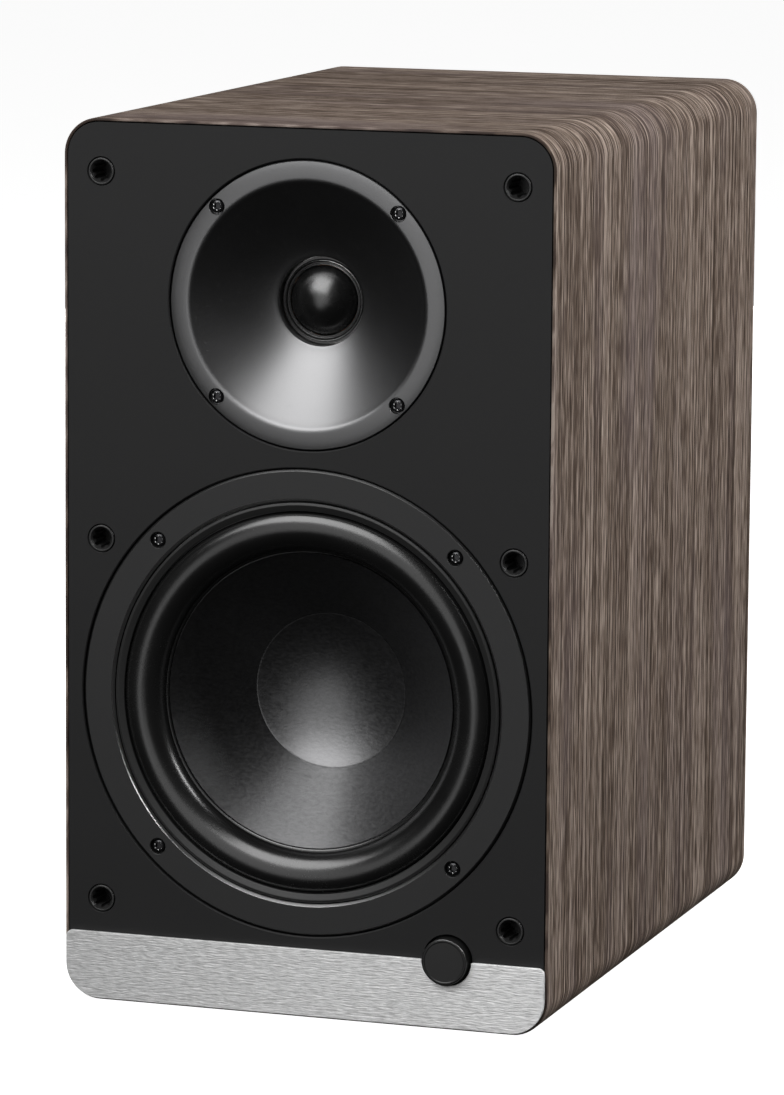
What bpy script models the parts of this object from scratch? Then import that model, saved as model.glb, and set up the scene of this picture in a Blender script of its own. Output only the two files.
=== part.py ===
"""Compact powered bookshelf speaker: a wood-wrapped cabinet with a horn-loaded dome tweeter, a woofer, a
push-and-turn volume knob and a rear amplifier plate, modelled as the separate pieces that it is built from.

Metres, +Z up. The front faces -Y, and the origin is at the middle of the cabinet's underside.
Depths (the second number of a profile) are measured backwards from the plane of the front baffle.
"""

import math

import bmesh
import bpy
from mathutils import Matrix

# ---------------------------------------------------------------- driving dimensions
WIDTH = 0.140
HEIGHT = 0.245
DEPTH = 0.203
CORNER = 0.010  # radius of the cabinet's four long edges
WALL = 0.009
WRAP_LIP = 0.0008  # what is left of the wall round the baffle
GAP = 0.0003  # between pieces that rest on each other
FRONT_Y = -DEPTH / 2

BAFFLE_THICK = 0.015
REAR_THICK = 0.012
FLANGE_THICK = 0.004  # both drivers' flanges, let in flush
RECESS_DEPTH = FLANGE_THICK + GAP

TWEETER_Z = 0.1963
TWEETER_RADIUS = 0.0392
HORN_MOUTH = 0.0334
HORN_THROAT = 0.0122
HORN_DEPTH = 0.0115
DOME_RADIUS = 0.0095
DOME_BASE = 0.0146  # depth of the dome's rim
DOME_HEIGHT = 0.0050
TWEETER_SCREW_RING = 0.03665

WOOFER_Z = 0.0873
WOOFER_RADIUS = 0.0644
FLANGE_INNER = 0.0557
CONE_RADIUS = 0.0400
CONE_EDGE_DEPTH = 0.0054
CAP_RADIUS = 0.0213
CAP_DEPTH = 0.0212
CAP_DISH = 0.0050
NECK_RADIUS = 0.0134
NECK_DEPTH = 0.0292
WOOFER_SCREW_RING = 0.0604

SOCKET_X = 0.0593
SOCKET_HEIGHTS = (0.0287, 0.1296, 0.2305)
SOCKET_RADIUS = 0.0037

KNOB_X, KNOB_Z = 0.0416, 0.0194
KNOB_RADIUS = 0.0064
KNOB_PROUD = 0.0034
NOTCH_RADIUS = 0.0071

TRIM_TOP = 0.0193
TRIM_INSET = 0.0006
TRIM_THICK = 0.0010

PORT_Z = 0.193
PLATE_Z = 0.086
PLATE_SIZE = (0.104, 0.132)
PLATE_THICK = 0.0015
PLATE_OUTER = DEPTH + GAP + PLATE_THICK  # depth of the amplifier plate's outside

POST_XS = {"red": 0.0095, "black": -0.0095}
POST_Z = 0.076
JACK_XS = (0.018, 0.004, -0.010)
JACK_Z = 0.130
DIGITAL_Z = 0.105
HDMI_X, USB_X, OPTICAL_X = 0.024, -0.002, -0.026
CHANNEL_SWITCH_X = 0.037
MAINS_Z = 0.042
INLET_X, ROCKER_X = -0.0105, 0.0180
ROCKER_PIVOT_DEPTH = DEPTH + 0.0015
ROCKER_TILT = math.radians(12)

ROUND, MEDIUM, SMALL = 24, 16, 8  # segments in a turn, all multiples of four
CORNER_STEPS = 5


# ---------------------------------------------------------------- collections and materials
def clear_scene():
    """Removes whatever the file holds, so that the speaker stands alone."""
    for obj in list(bpy.data.objects):
        bpy.data.objects.remove(obj)


def new_collection(name):
    """Adds a collection to the scene."""
    made = bpy.data.collections.new(name)
    bpy.context.scene.collection.children.link(made)
    return made


def finish(name, colour, roughness, metallic=0.0):
    """A Principled material of one colour."""
    made = bpy.data.materials.new(name)
    made.use_nodes = True
    shader = made.node_tree.nodes["Principled BSDF"]
    shader.inputs["Base Color"].default_value = (*colour, 1.0)
    shader.inputs["Roughness"].default_value = roughness
    shader.inputs["Metallic"].default_value = metallic
    return made


clear_scene()
SPEAKER = new_collection("bookshelf_speaker")
CUTTERS = new_collection("cutters")

WOOD = finish("wood_wrap", (0.16, 0.12, 0.095), 0.5)
BLACK_BOARD = finish("black_board", (0.02, 0.02, 0.021), 0.55)
BARE_BOARD = finish("bare_board", (0.36, 0.26, 0.17), 0.8)
BLACK_PLASTIC = finish("black_plastic", (0.018, 0.018, 0.019), 0.4)
GLOSS_BLACK = finish("gloss_black", (0.012, 0.012, 0.013), 0.12)
SATIN_CONE = finish("satin_cone", (0.025, 0.025, 0.026), 0.42)
RUBBER = finish("rubber", (0.015, 0.015, 0.015), 0.5)
SILK = finish("silk", (0.02, 0.02, 0.02), 0.35)
ALUMINIUM = finish("brushed_aluminium", (0.62, 0.62, 0.62), 0.35, 1.0)
STEEL = finish("zinc_steel", (0.5, 0.5, 0.5), 0.35, 1.0)
BLACK_STEEL = finish("black_steel", (0.02, 0.02, 0.02), 0.3, 0.6)
FERRITE = finish("ferrite", (0.05, 0.05, 0.055), 0.7)
COPPER = finish("copper", (0.6, 0.25, 0.12), 0.35, 1.0)
CIRCUIT = finish("circuit_board", (0.02, 0.12, 0.06), 0.5)
BRASS = finish("gold_plate", (0.75, 0.55, 0.25), 0.25, 1.0)
RED_PLASTIC = finish("red_plastic", (0.45, 0.02, 0.02), 0.35)
WADDING = finish("wadding", (0.75, 0.73, 0.68), 0.95)
SPIDER_CLOTH = finish("spider_cloth", (0.55, 0.38, 0.12), 0.85)


# ---------------------------------------------------------------- makers of shapes
def add(name, data, material=None, location=(0, 0, 0), rotation=(0, 0, 0), collection=SPEAKER):
    """Puts new data in the scene as an object."""
    obj = bpy.data.objects.new(name, data)
    obj.location = location
    obj.rotation_euler = rotation
    if material:
        data.materials.append(material)
    collection.objects.link(obj)
    return obj


def soften(obj):
    """Smooth shading that keeps sharp edges sharp."""
    obj.data.shade_smooth()
    obj.data.set_sharp_from_angle(angle=math.radians(35))
    return obj


def clockwise(profile):
    """The profile wound so that a Screw modifier makes its faces point outwards."""
    area = 0.0
    for (r0, d0), (r1, d1) in zip(profile, profile[1:] + profile[:1]):
        area += r0 * d1 - r1 * d0
    return list(profile) if area > 0 else list(reversed(profile))


def turned(name, profile, material, x, z, steps=ROUND, y=FRONT_Y, collection=SPEAKER):
    """A solid turned about a line along Y through (x, z), from a profile of (radius, depth) points."""
    points = clockwise(profile)
    on_axis = [i for i, (radius, _) in enumerate(points) if radius == 0]
    if on_axis:
        # an open profile starts at one axis point and ends at the other
        start = next(i for i in on_axis if points[i - 1][0] == 0)
        points = points[start:] + points[:start]
    edges = [(i, i + 1) for i in range(len(points) - 1)]
    if not on_axis:
        edges.append((len(points) - 1, 0))
    mesh = bpy.data.meshes.new(name)
    mesh.from_pydata([(radius, 0, -depth) for radius, depth in points], edges, [])
    obj = add(name, mesh, material, (x, y, z), (math.radians(90), 0, 0), collection)
    screw = obj.modifiers.new("turn", "SCREW")
    screw.axis = "Z"
    screw.angle = 2 * math.pi
    screw.steps = screw.render_steps = steps
    screw.use_merge_vertices = True
    screw.merge_threshold = 0.00001
    screw.use_smooth_shade = True
    return obj


def arc(cx, cy, radius, start, end, steps):
    """Points along an arc, in degrees, both ends included."""
    angles = [math.radians(start + (end - start) * i / steps) for i in range(steps + 1)]
    return [(cx + radius * math.cos(a), cy + radius * math.sin(a)) for a in angles]


def circle(cx, cy, radius, steps):
    """A closed round outline."""
    return arc(cx, cy, radius, 0, 360, steps)[:-1]


def rounded(cx, cy, width, height, radius, steps=CORNER_STEPS):
    """A rectangle's outline with round corners."""
    x, y = width / 2 - radius, height / 2 - radius
    return (
        arc(cx + x, cy + y, radius, 0, 90, steps)
        + arc(cx - x, cy + y, radius, 90, 180, steps)
        + arc(cx - x, cy - y, radius, 180, 270, steps)
        + arc(cx + x, cy - y, radius, 270, 360, steps)
    )


ALONG = {  # turns a flat outline's own axes to the model's
    "X": (math.radians(90), 0, math.radians(90)),
    "Y": (math.radians(90), 0, 0),
    "Z": (0, 0, 0),
}


def meshed(obj, collection=SPEAKER):
    """The curve as a closed mesh object in the same place, so that Booleans can use it."""
    bpy.context.view_layer.update()
    graph = bpy.context.evaluated_depsgraph_get()
    data = bpy.data.meshes.new_from_object(obj.evaluated_get(graph))
    bm = bmesh.new()
    bm.from_mesh(data)
    bmesh.ops.remove_doubles(bm, verts=bm.verts, dist=0.000001)
    bm.to_mesh(data)
    bm.free()
    name, matrix, old = obj.name, obj.matrix_world.copy(), obj.data
    bpy.data.objects.remove(obj)
    bpy.data.curves.remove(old)
    made = add(name, data, None, collection=collection)
    made.matrix_world = matrix
    return made


def slab(name, loops, material, low, high, along="Y", origin=(0, 0, 0), collection=SPEAKER):
    """A flat piece: its outline, then any holes, extruded from low to high.

    Along Y, low and high are depths behind the baffle's plane, and outlines are (x, z).
    Along Z, they are heights, and outlines are (x, y). Along X, outlines are (y, z).
    """
    curve = bpy.data.curves.new(name, "CURVE")
    curve.dimensions = "2D"
    curve.fill_mode = "BOTH"
    curve.extrude = (high - low) / 2
    for loop in loops:
        spline = curve.splines.new("POLY")
        spline.points.add(len(loop) - 1)
        for point, (u, v) in zip(spline.points, loop):
            point.co = (u, v, 0, 1)
        spline.use_cyclic_u = True
    middle = (low + high) / 2
    shift = {"X": (middle, 0, 0), "Y": (0, FRONT_Y + middle, 0), "Z": (0, 0, middle)}[along]
    place = [a + b for a, b in zip(shift, origin)]
    return meshed(add(name, curve, material, place, ALONG[along], collection), collection)


def block(name, low, high, material=None, collection=SPEAKER):
    """A box between two corners, given as (x, depth, z)."""
    size = [b - a for a, b in zip(low, high)]
    middle = [(a + b) / 2 for a, b in zip(low, high)]
    bm = bmesh.new()
    bmesh.ops.create_cube(bm, size=1.0, matrix=Matrix.Diagonal((*size, 1.0)))
    mesh = bpy.data.meshes.new(name)
    bm.to_mesh(mesh)
    bm.free()
    return add(name, mesh, material, (middle[0], FRONT_Y + middle[1], middle[2]), collection=collection)


def rod(name, radius, front, back, material, x, z, steps=MEDIUM, collection=SPEAKER):
    """A plain cylinder along Y between two depths."""
    bm = bmesh.new()
    bmesh.ops.create_cone(
        bm,
        cap_ends=True,
        segments=steps,
        radius1=radius,
        radius2=radius,
        depth=back - front,
        matrix=Matrix.Rotation(math.radians(90), 4, "X"),
    )
    mesh = bpy.data.meshes.new(name)
    bm.to_mesh(mesh)
    bm.free()
    return soften(add(name, mesh, material, (x, FRONT_Y + (front + back) / 2, z), collection=collection))


def boolean(target, tool, operation):
    """Cuts the tool from the target or joins it on, and puts the tool with the cutters."""
    modifier = target.modifiers.new(tool.name, "BOOLEAN")
    modifier.operation = operation
    modifier.object = tool
    modifier.solver = "EXACT"
    tool.hide_render = True
    tool.display_type = "WIRE"
    for collection in list(tool.users_collection):
        collection.objects.unlink(tool)
    CUTTERS.objects.link(tool)
    return target


def cut(target, *tools):
    """Removes the tools' shapes from the target."""
    for tool in tools:
        boolean(target, tool, "DIFFERENCE")
    return target


def join(target, *tools):
    """Makes the tools part of the target."""
    for tool in tools:
        boolean(target, tool, "UNION")
    return target


def carried_by(name, location, *pieces):
    """An empty on a joint's axis that carries the pieces that move together."""
    empty = add(name, None, None, location)
    bpy.context.view_layer.update()
    for piece in pieces:
        piece.parent = empty
        piece.matrix_parent_inverse = empty.matrix_world.inverted()
    return empty


def ring_places(centre_z, ring):
    """The four places, at 45 degrees, of a driver's screws."""
    reach = ring * math.sqrt(0.5)
    return [(sx * reach, centre_z + sz * reach) for sz in (1, -1) for sx in (-1, 1)]


# ---------------------------------------------------------------- cabinet
def make_cabinet_shell():
    """The four walls as one folded tube, let in at the front to take the baffle."""
    outer = rounded(0, HEIGHT / 2, WIDTH, HEIGHT, CORNER)
    inner = rounded(0, HEIGHT / 2, WIDTH - 2 * WALL, HEIGHT - 2 * WALL, CORNER - WALL + 0.002, 2)
    shell = slab("cabinet_shell", [outer, inner], WOOD, 0, DEPTH)
    seat = slab(
        "baffle_seat",
        [rounded(0, HEIGHT / 2, WIDTH - 2 * WRAP_LIP, HEIGHT - 2 * WRAP_LIP, CORNER - WRAP_LIP)],
        None,
        -0.001,
        BAFFLE_THICK + GAP,
    )
    return cut(shell, seat)


def make_front_baffle():
    """The black front board, with its driver seats, knob well and grille-socket holes."""
    trim = 2 * (WRAP_LIP + GAP)
    loops = [rounded(0, HEIGHT / 2, WIDTH - trim, HEIGHT - trim, CORNER - trim / 2)]
    loops.append(circle(0, WOOFER_Z, 0.0555, ROUND))
    loops.append(circle(0, TWEETER_Z, 0.0300, ROUND))
    loops.append(circle(KNOB_X, KNOB_Z, 0.0040, MEDIUM))
    loops += [circle(sx * SOCKET_X, z, 0.0040, SMALL) for z in SOCKET_HEIGHTS for sx in (-1, 1)]
    screws = ring_places(WOOFER_Z, WOOFER_SCREW_RING) + ring_places(TWEETER_Z, TWEETER_SCREW_RING)
    loops += [circle(x, z, 0.0015, 8) for x, z in screws]
    baffle = slab("front_baffle", loops, BLACK_BOARD, 0, BAFFLE_THICK)
    return cut(
        baffle,
        rod("woofer_seat", WOOFER_RADIUS + 0.0004, -0.001, RECESS_DEPTH, None, 0, WOOFER_Z, ROUND),
        rod("tweeter_seat", TWEETER_RADIUS + 0.0004, -0.001, RECESS_DEPTH, None, 0, TWEETER_Z, ROUND),
        rod("knob_well", NOTCH_RADIUS, -0.001, 0.005, None, KNOB_X, KNOB_Z, MEDIUM),
    )


def make_inner_panel(name, material, front, back, holes):
    """A board that fills the tube's inside, with holes."""
    width, height = WIDTH - 2 * WALL - 2 * GAP, HEIGHT - 2 * WALL - 2 * GAP
    outline = rounded(0, HEIGHT / 2, width, height, CORNER - WALL + 0.002 - GAP, 2)
    return slab(name, [outline, *holes], material, front, back)


def make_rear_panel():
    """The back board, open for the port and for the amplifier."""
    holes = [
        rounded(0, PORT_Z, 0.0790, 0.0270, 0.0134),
        rounded(0, PLATE_Z, 0.090, 0.118, 0.004, 2),
    ]
    return make_inner_panel("rear_panel", BLACK_BOARD, DEPTH - REAR_THICK, DEPTH, holes)


def make_window_brace():
    """The board across the middle that stiffens the walls, with two windows."""
    holes = [rounded(0, z, 0.094, 0.094, 0.012, 3) for z in (0.070, 0.175)]
    return make_inner_panel("window_brace", BARE_BOARD, 0.092, 0.101, holes)


def make_port_tube():
    """The slot-shaped bass port, flared at both ends, with a flange outside the back board."""
    # (depth, half width, half height) of the inside, then back along the outside
    inside = [
        (DEPTH + 0.0020, 0.0390, 0.0130),
        (DEPTH + 0.0004, 0.0366, 0.0106),
        (DEPTH - 0.0030, 0.0340, 0.0085),
        (DEPTH - 0.0080, 0.0320, 0.0072),
        (DEPTH - 0.0150, 0.0305, 0.0065),
        (0.1300, 0.0305, 0.0065),
        (0.1220, 0.0320, 0.0080),
        (0.1180, 0.0355, 0.0110),
    ]
    outside = [
        (0.1180, 0.0380, 0.0135),
        (0.1220, 0.0345, 0.0105),
        (0.1300, 0.0330, 0.0090),
        (DEPTH - 0.0150, 0.0330, 0.0090),
        (DEPTH - 0.0080, 0.0345, 0.0097),
        (DEPTH + GAP, 0.0390, 0.0130),
        (DEPTH + GAP, 0.0430, 0.0170),
        (DEPTH + 0.0020, 0.0430, 0.0170),
    ]
    bm = bmesh.new()
    rings = []
    for depth, half_width, half_height in inside + outside:
        outline = rounded(0, 0, 2 * half_width, 2 * half_height, half_height - 0.0001, 3)
        rings.append([bm.verts.new((u, v, -depth)) for u, v in outline])
    for first, second in zip(rings, rings[1:] + rings[:1]):
        for i, corner in enumerate(first):
            after = (i + 1) % len(first)
            bm.faces.new((corner, first[after], second[after], second[i]))
    bmesh.ops.recalc_face_normals(bm, faces=bm.faces)
    mesh = bpy.data.meshes.new("port_tube")
    bm.to_mesh(mesh)
    bm.free()
    return soften(add("port_tube", mesh, BLACK_PLASTIC, (0, FRONT_Y, PORT_Z), ALONG["Y"]))


def make_wadding():
    """The slab of polyester wadding under the top wall."""
    return block("damping_wadding", (-0.058, 0.038, 0.2215), (0.058, 0.088, 0.2355), WADDING)


# ---------------------------------------------------------------- front trim
def make_trim_plate():
    """The aluminium plate along the bottom edge, notched round the knob."""
    left, right = -WIDTH / 2 + TRIM_INSET, WIDTH / 2 - TRIM_INSET
    big, small, fillet = CORNER - TRIM_INSET, 0.0016, 0.0008
    # the fillet circles touch the top edge from below and the notch from outside
    drop = TRIM_TOP - fillet - KNOB_Z
    reach = math.sqrt((NOTCH_RADIUS + fillet) ** 2 - drop**2)
    lean = math.degrees(math.atan2(drop, reach))
    outline = arc(left + big, TRIM_INSET + big, big, 180, 270, CORNER_STEPS)
    outline += arc(right - big, TRIM_INSET + big, big, 270, 360, CORNER_STEPS)
    outline += arc(right - small, TRIM_TOP - small, small, 0, 90, 3)
    outline += arc(KNOB_X + reach, TRIM_TOP - fillet, fillet, 90, 180 + lean, 3)
    outline += arc(KNOB_X, KNOB_Z, NOTCH_RADIUS, lean, -180 - lean, 14)[1:-1]
    outline += arc(KNOB_X - reach, TRIM_TOP - fillet, fillet, -lean, 90, 3)
    outline += arc(left + small, TRIM_TOP - small, small, 90, 180, 3)
    return slab("trim_plate", [outline], ALUMINIUM, -GAP - TRIM_THICK, -GAP)


def make_grille_sockets():
    """The six rubber cups that hold the pegs of a grille."""
    radius, bore, length, deep = SOCKET_RADIUS, 0.0022, 0.011, 0.009
    cup = [(radius, 0), (radius, length), (0, length), (0, deep), (bore, deep), (bore, 0.0010), (0.0028, 0)]
    for z, level in zip(SOCKET_HEIGHTS, ("bottom", "middle", "top")):
        for sx, side in ((-1, "left"), (1, "right")):
            turned(f"grille_socket_{side}_{level}", cup, RUBBER, sx * SOCKET_X, z, SMALL)


# ---------------------------------------------------------------- screws of the drivers
def screw_cutter(name, x, z):
    """The counterbored hole that a driver screw leaves in a flange."""
    hole = [(0, -0.001), (0.0022, -0.001), (0.0022, 0.0019), (0.0015, 0.0019), (0.0015, 0.006), (0, 0.006)]
    return turned(name, hole, None, x, z, SMALL)


def make_screws(prefix, centre_z, ring, flange):
    """Four socket-head wood screws, and their holes in the flange."""
    head, shank, top, seat, tip = 0.0019, 0.0012, 0.0004, 0.0016, 0.0140
    shape = [(0, 0.0013), (0.0010, 0.0013), (0.0010, top), (head, top), (head, seat)]
    shape += [(shank, seat), (shank, tip - 0.0015), (0, tip)]
    for number, (x, z) in enumerate(ring_places(centre_z, ring), 1):
        turned(f"{prefix}_screw_{number}", shape, BLACK_STEEL, x, z, SMALL)
        cut(flange, screw_cutter(f"{prefix}_screw_hole_{number}", x, z))


# ---------------------------------------------------------------- tweeter
def horn_depth(radius):
    """Depth of the horn's surface at a radius, steeper towards its mouth."""
    share = (radius - HORN_THROAT) / (HORN_MOUTH - HORN_THROAT)
    return 0.0007 + (HORN_DEPTH - 0.0007) * (1 - share**1.25)


def make_tweeter():
    """Horn, suspended dome with its coil, and a ferrite motor behind them."""
    steps = 6
    radii = [HORN_THROAT + (HORN_MOUTH - HORN_THROAT) * i / steps for i in range(steps + 1)]
    bowl = [(r, horn_depth(r)) for r in radii]
    wall = 0.0022
    bowl_back = [(r + 0.0010, horn_depth(r) + wall) for r in radii[1:4]]
    profile = [(TWEETER_RADIUS, 0.0003), (TWEETER_RADIUS, FLANGE_THICK), (0.0290, FLANGE_THICK)]
    profile += list(reversed(bowl_back))
    profile += [(0.0190, 0.0143), (0.0190, 0.0169), (HORN_THROAT, 0.0169)]
    profile += bowl + [(0.0346, 0), (TWEETER_RADIUS - 0.0003, 0)]
    horn = turned("tweeter_waveguide", profile, BLACK_PLASTIC, 0, TWEETER_Z)
    make_screws("tweeter", TWEETER_Z, TWEETER_SCREW_RING, horn)

    sphere = (DOME_RADIUS**2 + DOME_HEIGHT**2) / (2 * DOME_HEIGHT)
    skin, rows = 0.0005, 4
    radii = [DOME_RADIUS * i / rows for i in range(rows + 1)]
    rise = [DOME_BASE - DOME_HEIGHT + sphere - math.sqrt(sphere**2 - r**2) for r in radii]
    front = list(zip(radii, rise))
    back = [(r, d + skin) for r, d in reversed(front[:-1])]
    dome = turned(
        "tweeter_dome",
        front + [(DOME_RADIUS, DOME_BASE + 0.0008), (DOME_RADIUS - skin, DOME_BASE + 0.0008)] + back,
        SILK,
        0,
        TWEETER_Z,
        MEDIUM,
    )
    roll = [(0.0119, 0.0148), (0.0119, 0.0154), (0.0109, 0.0154), (0.0098, 0.0154)]
    roll += [(0.0098, 0.0148), (0.0103, 0.0143), (0.0108, 0.0148)]
    turned("tweeter_surround", roll, RUBBER, 0, TWEETER_Z, MEDIUM)
    coil = turned(
        "tweeter_voice_coil",
        [(0.0095, 0.0157), (0.0095, 0.0205), (0.0091, 0.0205), (0.0091, 0.0157)],
        COPPER,
        0,
        TWEETER_Z,
        MEDIUM,
    )
    washer = [(0.0200, 0.0172), (0.0200, 0.0202), (0.0101, 0.0202), (0.0101, 0.0172)]
    turned("tweeter_top_plate", washer, STEEL, 0, TWEETER_Z, MEDIUM)
    magnet = [(0.0225, 0.0205), (0.0225, 0.0285), (0.0125, 0.0285), (0.0125, 0.0205)]
    turned("tweeter_magnet", magnet, FERRITE, 0, TWEETER_Z, MEDIUM)
    yoke = [(0, 0.0165), (0.0086, 0.0165), (0.0086, 0.0288), (0.0200, 0.0288), (0.0200, 0.0320), (0, 0.0320)]
    turned("tweeter_yoke", yoke, STEEL, 0, TWEETER_Z, MEDIUM)
    carried_by("tweeter_stroke_axis", (0, FRONT_Y + DOME_BASE, TWEETER_Z), dome, coil)


# ---------------------------------------------------------------- woofer
def basket_window(number):
    """One of the six openings in the basket's sloping wall."""
    window = block(f"basket_window_{number}", (0.030, 0.0115, -0.011), (0.062, 0.0270, 0.011))
    turn = Matrix.Translation((0, 0, WOOFER_Z)) @ Matrix.Rotation(math.radians(60 * number), 4, "Y")
    window.matrix_world = turn @ window.matrix_basis
    return window


def make_woofer_frame():
    """The cast basket, the ring that clamps the surround, and the four screws."""
    basket = turned(
        "woofer_basket",
        [
            (WOOFER_RADIUS, 0.0004),
            (WOOFER_RADIUS, FLANGE_THICK),
            (0.0545, FLANGE_THICK),
            (0.0545, 0.0080),
            (0.0375, 0.0330),
            (0.0375, 0.0410),
            (0.0170, 0.0410),
            (0.0170, 0.0384),
            (0.0305, 0.0384),
            (0.0305, 0.0314),
            (0.0359, 0.0314),
            (0.0519, 0.0072),
            (0.0519, 0.0030),
            (FLANGE_INNER, 0.0030),
            (FLANGE_INNER, 0.0008),
            (FLANGE_INNER + 0.0008, 0),
            (WOOFER_RADIUS - 0.0004, 0),
        ],
        BLACK_STEEL,
        0,
        WOOFER_Z,
    )
    cut(basket, *[basket_window(number) for number in range(6)])
    make_screws("woofer", WOOFER_Z, WOOFER_SCREW_RING, basket)
    ring = [(0.0554, 0.0003), (0.0554, 0.0017), (0.0530, 0.0017), (0.0530, 0.0006)]
    turned("woofer_gasket_ring", ring, BLACK_PLASTIC, 0, WOOFER_Z)


def make_woofer_surround():
    """The rubber half-roll between the cone's edge and the basket."""
    middle, half, skin = 0.0473, 0.0053, 0.0006
    lip_out, lip_in, rise = 0.0020, 0.0045, 0.0036
    steps = 6
    front = []
    for i in range(steps + 1):
        angle = math.pi * i / steps
        lean = lip_out + (lip_in - lip_out) * i / steps
        front.append((middle + half * math.cos(angle), lean - rise * math.sin(angle)))
    front = [(0.0553, lip_out), *front, (CONE_RADIUS, lip_in)]
    back = [(0.0553, lip_out + skin), (middle + half - skin, lip_out + skin)]
    for i in range(1, steps):
        angle = math.pi * i / steps
        lean = lip_out + (lip_in - lip_out) * i / steps
        back.append((middle + (half - skin) * math.cos(angle), lean - (rise - skin) * math.sin(angle)))
    back += [(middle - half + skin, lip_in + skin), (CONE_RADIUS, lip_in + skin)]
    turned("woofer_surround", front + list(reversed(back)), RUBBER, 0, WOOFER_Z)


def make_woofer_cone():
    """Cone, dished dust cap and voice coil, which move as one."""
    paper = 0.0009
    cone = turned(
        "woofer_cone",
        [
            (CONE_RADIUS + 0.0018, CONE_EDGE_DEPTH),
            (CONE_RADIUS + 0.0018, CONE_EDGE_DEPTH + paper),
            (CONE_RADIUS, CONE_EDGE_DEPTH + paper),
            (NECK_RADIUS + paper, NECK_DEPTH + paper),
            (NECK_RADIUS, NECK_DEPTH + paper),
            (NECK_RADIUS, NECK_DEPTH),
            (CONE_RADIUS, CONE_EDGE_DEPTH),
        ],
        SATIN_CONE,
        0,
        WOOFER_Z,
    )
    rows = 4
    radii = [CAP_RADIUS * i / rows for i in range(rows + 1)]
    front = [(r, CAP_DEPTH + CAP_DISH * (1 - (r / CAP_RADIUS) ** 2)) for r in radii]
    back = [(r, d + 0.0006) for r, d in reversed(front)]
    cap = turned("woofer_dust_cap", front + back, SATIN_CONE, 0, WOOFER_Z)
    coil = turned(
        "woofer_voice_coil",
        [(0.0130, 0.0293), (0.0130, 0.0400), (0.0136, 0.0400), (0.0136, 0.0490), (0.0125, 0.0490), (0.0125, 0.0293)],
        COPPER,
        0,
        WOOFER_Z,
        MEDIUM,
    )
    carried_by("woofer_stroke_axis", (0, FRONT_Y + CONE_EDGE_DEPTH, WOOFER_Z), cone, cap, coil)


def make_spider():
    """The corrugated cloth disc that centres the coil."""
    inner, outer, front, cloth, wave = 0.0134, 0.0353, 0.0306, 0.0005, 0.0008
    ripples = 7
    top = [(outer, front)]
    for i in range(ripples):
        radius = 0.0300 - (0.0300 - 0.0165) * i / (ripples - 1)
        top.append((radius, front + (0 if i % 2 == 0 else -wave)))
    top.append((inner, front))
    bottom = [(r, d + cloth) for r, d in reversed(top)]
    turned("woofer_spider", top + bottom, SPIDER_CLOTH, 0, WOOFER_Z, MEDIUM)


def make_woofer_motor():
    """Top plate, ring magnet and vented yoke."""
    plate = [(0.0340, 0.0413), (0.0340, 0.0463), (0.0142, 0.0463), (0.0142, 0.0413)]
    turned("woofer_top_plate", plate, STEEL, 0, WOOFER_Z, MEDIUM)
    magnet = [(0.0380, 0.0466), (0.0380, 0.0616), (0.0190, 0.0616), (0.0190, 0.0466)]
    turned("woofer_magnet", magnet, FERRITE, 0, WOOFER_Z, MEDIUM)
    yoke = [(0.0119, 0.0412), (0.0119, 0.0619), (0.0340, 0.0619), (0.0340, 0.0669), (0.0040, 0.0669), (0.0040, 0.0412)]
    turned("woofer_yoke", yoke, STEEL, 0, WOOFER_Z, MEDIUM)


# ---------------------------------------------------------------- volume control
def make_volume_control():
    """Knob on the shaft of a rotary encoder that also pushes."""
    bore = 0.0033
    knob = turned(
        "volume_knob",
        [
            (0, -KNOB_PROUD),
            (KNOB_RADIUS - 0.0004, -KNOB_PROUD),
            (KNOB_RADIUS, -KNOB_PROUD + 0.0004),
            (KNOB_RADIUS, 0.0020),
            (bore, 0.0020),
            (bore, -0.0015),
            (0, -0.0015),
        ],
        GLOSS_BLACK,
        KNOB_X,
        KNOB_Z,
    )
    shaft = rod("encoder_shaft", 0.0030, -0.0012, 0.0190, ALUMINIUM, KNOB_X, KNOB_Z, MEDIUM)
    plunger = rod("encoder_plunger", 0.0028, 0.0193, 0.0208, BLACK_PLASTIC, KNOB_X, KNOB_Z, MEDIUM)
    half = 0.0062
    low, high = (KNOB_X - half, 0.0155, KNOB_Z - half), (KNOB_X + half, 0.0270, KNOB_Z + half)
    body = block("encoder_body", low, high, STEEL)
    join(body, rod("encoder_bushing", 0.0037, 0.0065, 0.0200, None, KNOB_X, KNOB_Z, MEDIUM))
    cut(body, rod("encoder_bore", bore, 0.0060, 0.0240, None, KNOB_X, KNOB_Z, MEDIUM))
    carried_by("volume_press_axis", (KNOB_X, FRONT_Y, KNOB_Z), knob, shaft, plunger)


# ---------------------------------------------------------------- amplifier and connectors
def make_amp_plate():
    """The steel plate that carries every rear connector."""
    width, height = PLATE_SIZE
    loops = [rounded(0, PLATE_Z, width, height, 0.005)]
    loops += [circle(x, JACK_Z, 0.0046, SMALL) for x in JACK_XS]
    loops += [circle(x, POST_Z, 0.0050, SMALL) for x in POST_XS.values()]
    loops.append(rounded(HDMI_X, DIGITAL_Z, 0.0160, 0.0064, 0.0008, 1))
    loops.append(rounded(USB_X, DIGITAL_Z, 0.0128, 0.0116, 0.0008, 1))
    loops.append(rounded(OPTICAL_X, DIGITAL_Z, 0.0104, 0.0104, 0.0008, 1))
    loops.append(rounded(CHANNEL_SWITCH_X, JACK_Z, 0.0092, 0.0042, 0.0004, 1))
    loops.append(rounded(0, MAINS_Z, 0.0506, 0.0246, 0.0002, 1))
    return slab("amp_plate", loops, BLACK_STEEL, DEPTH + GAP, PLATE_OUTER)


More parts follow.
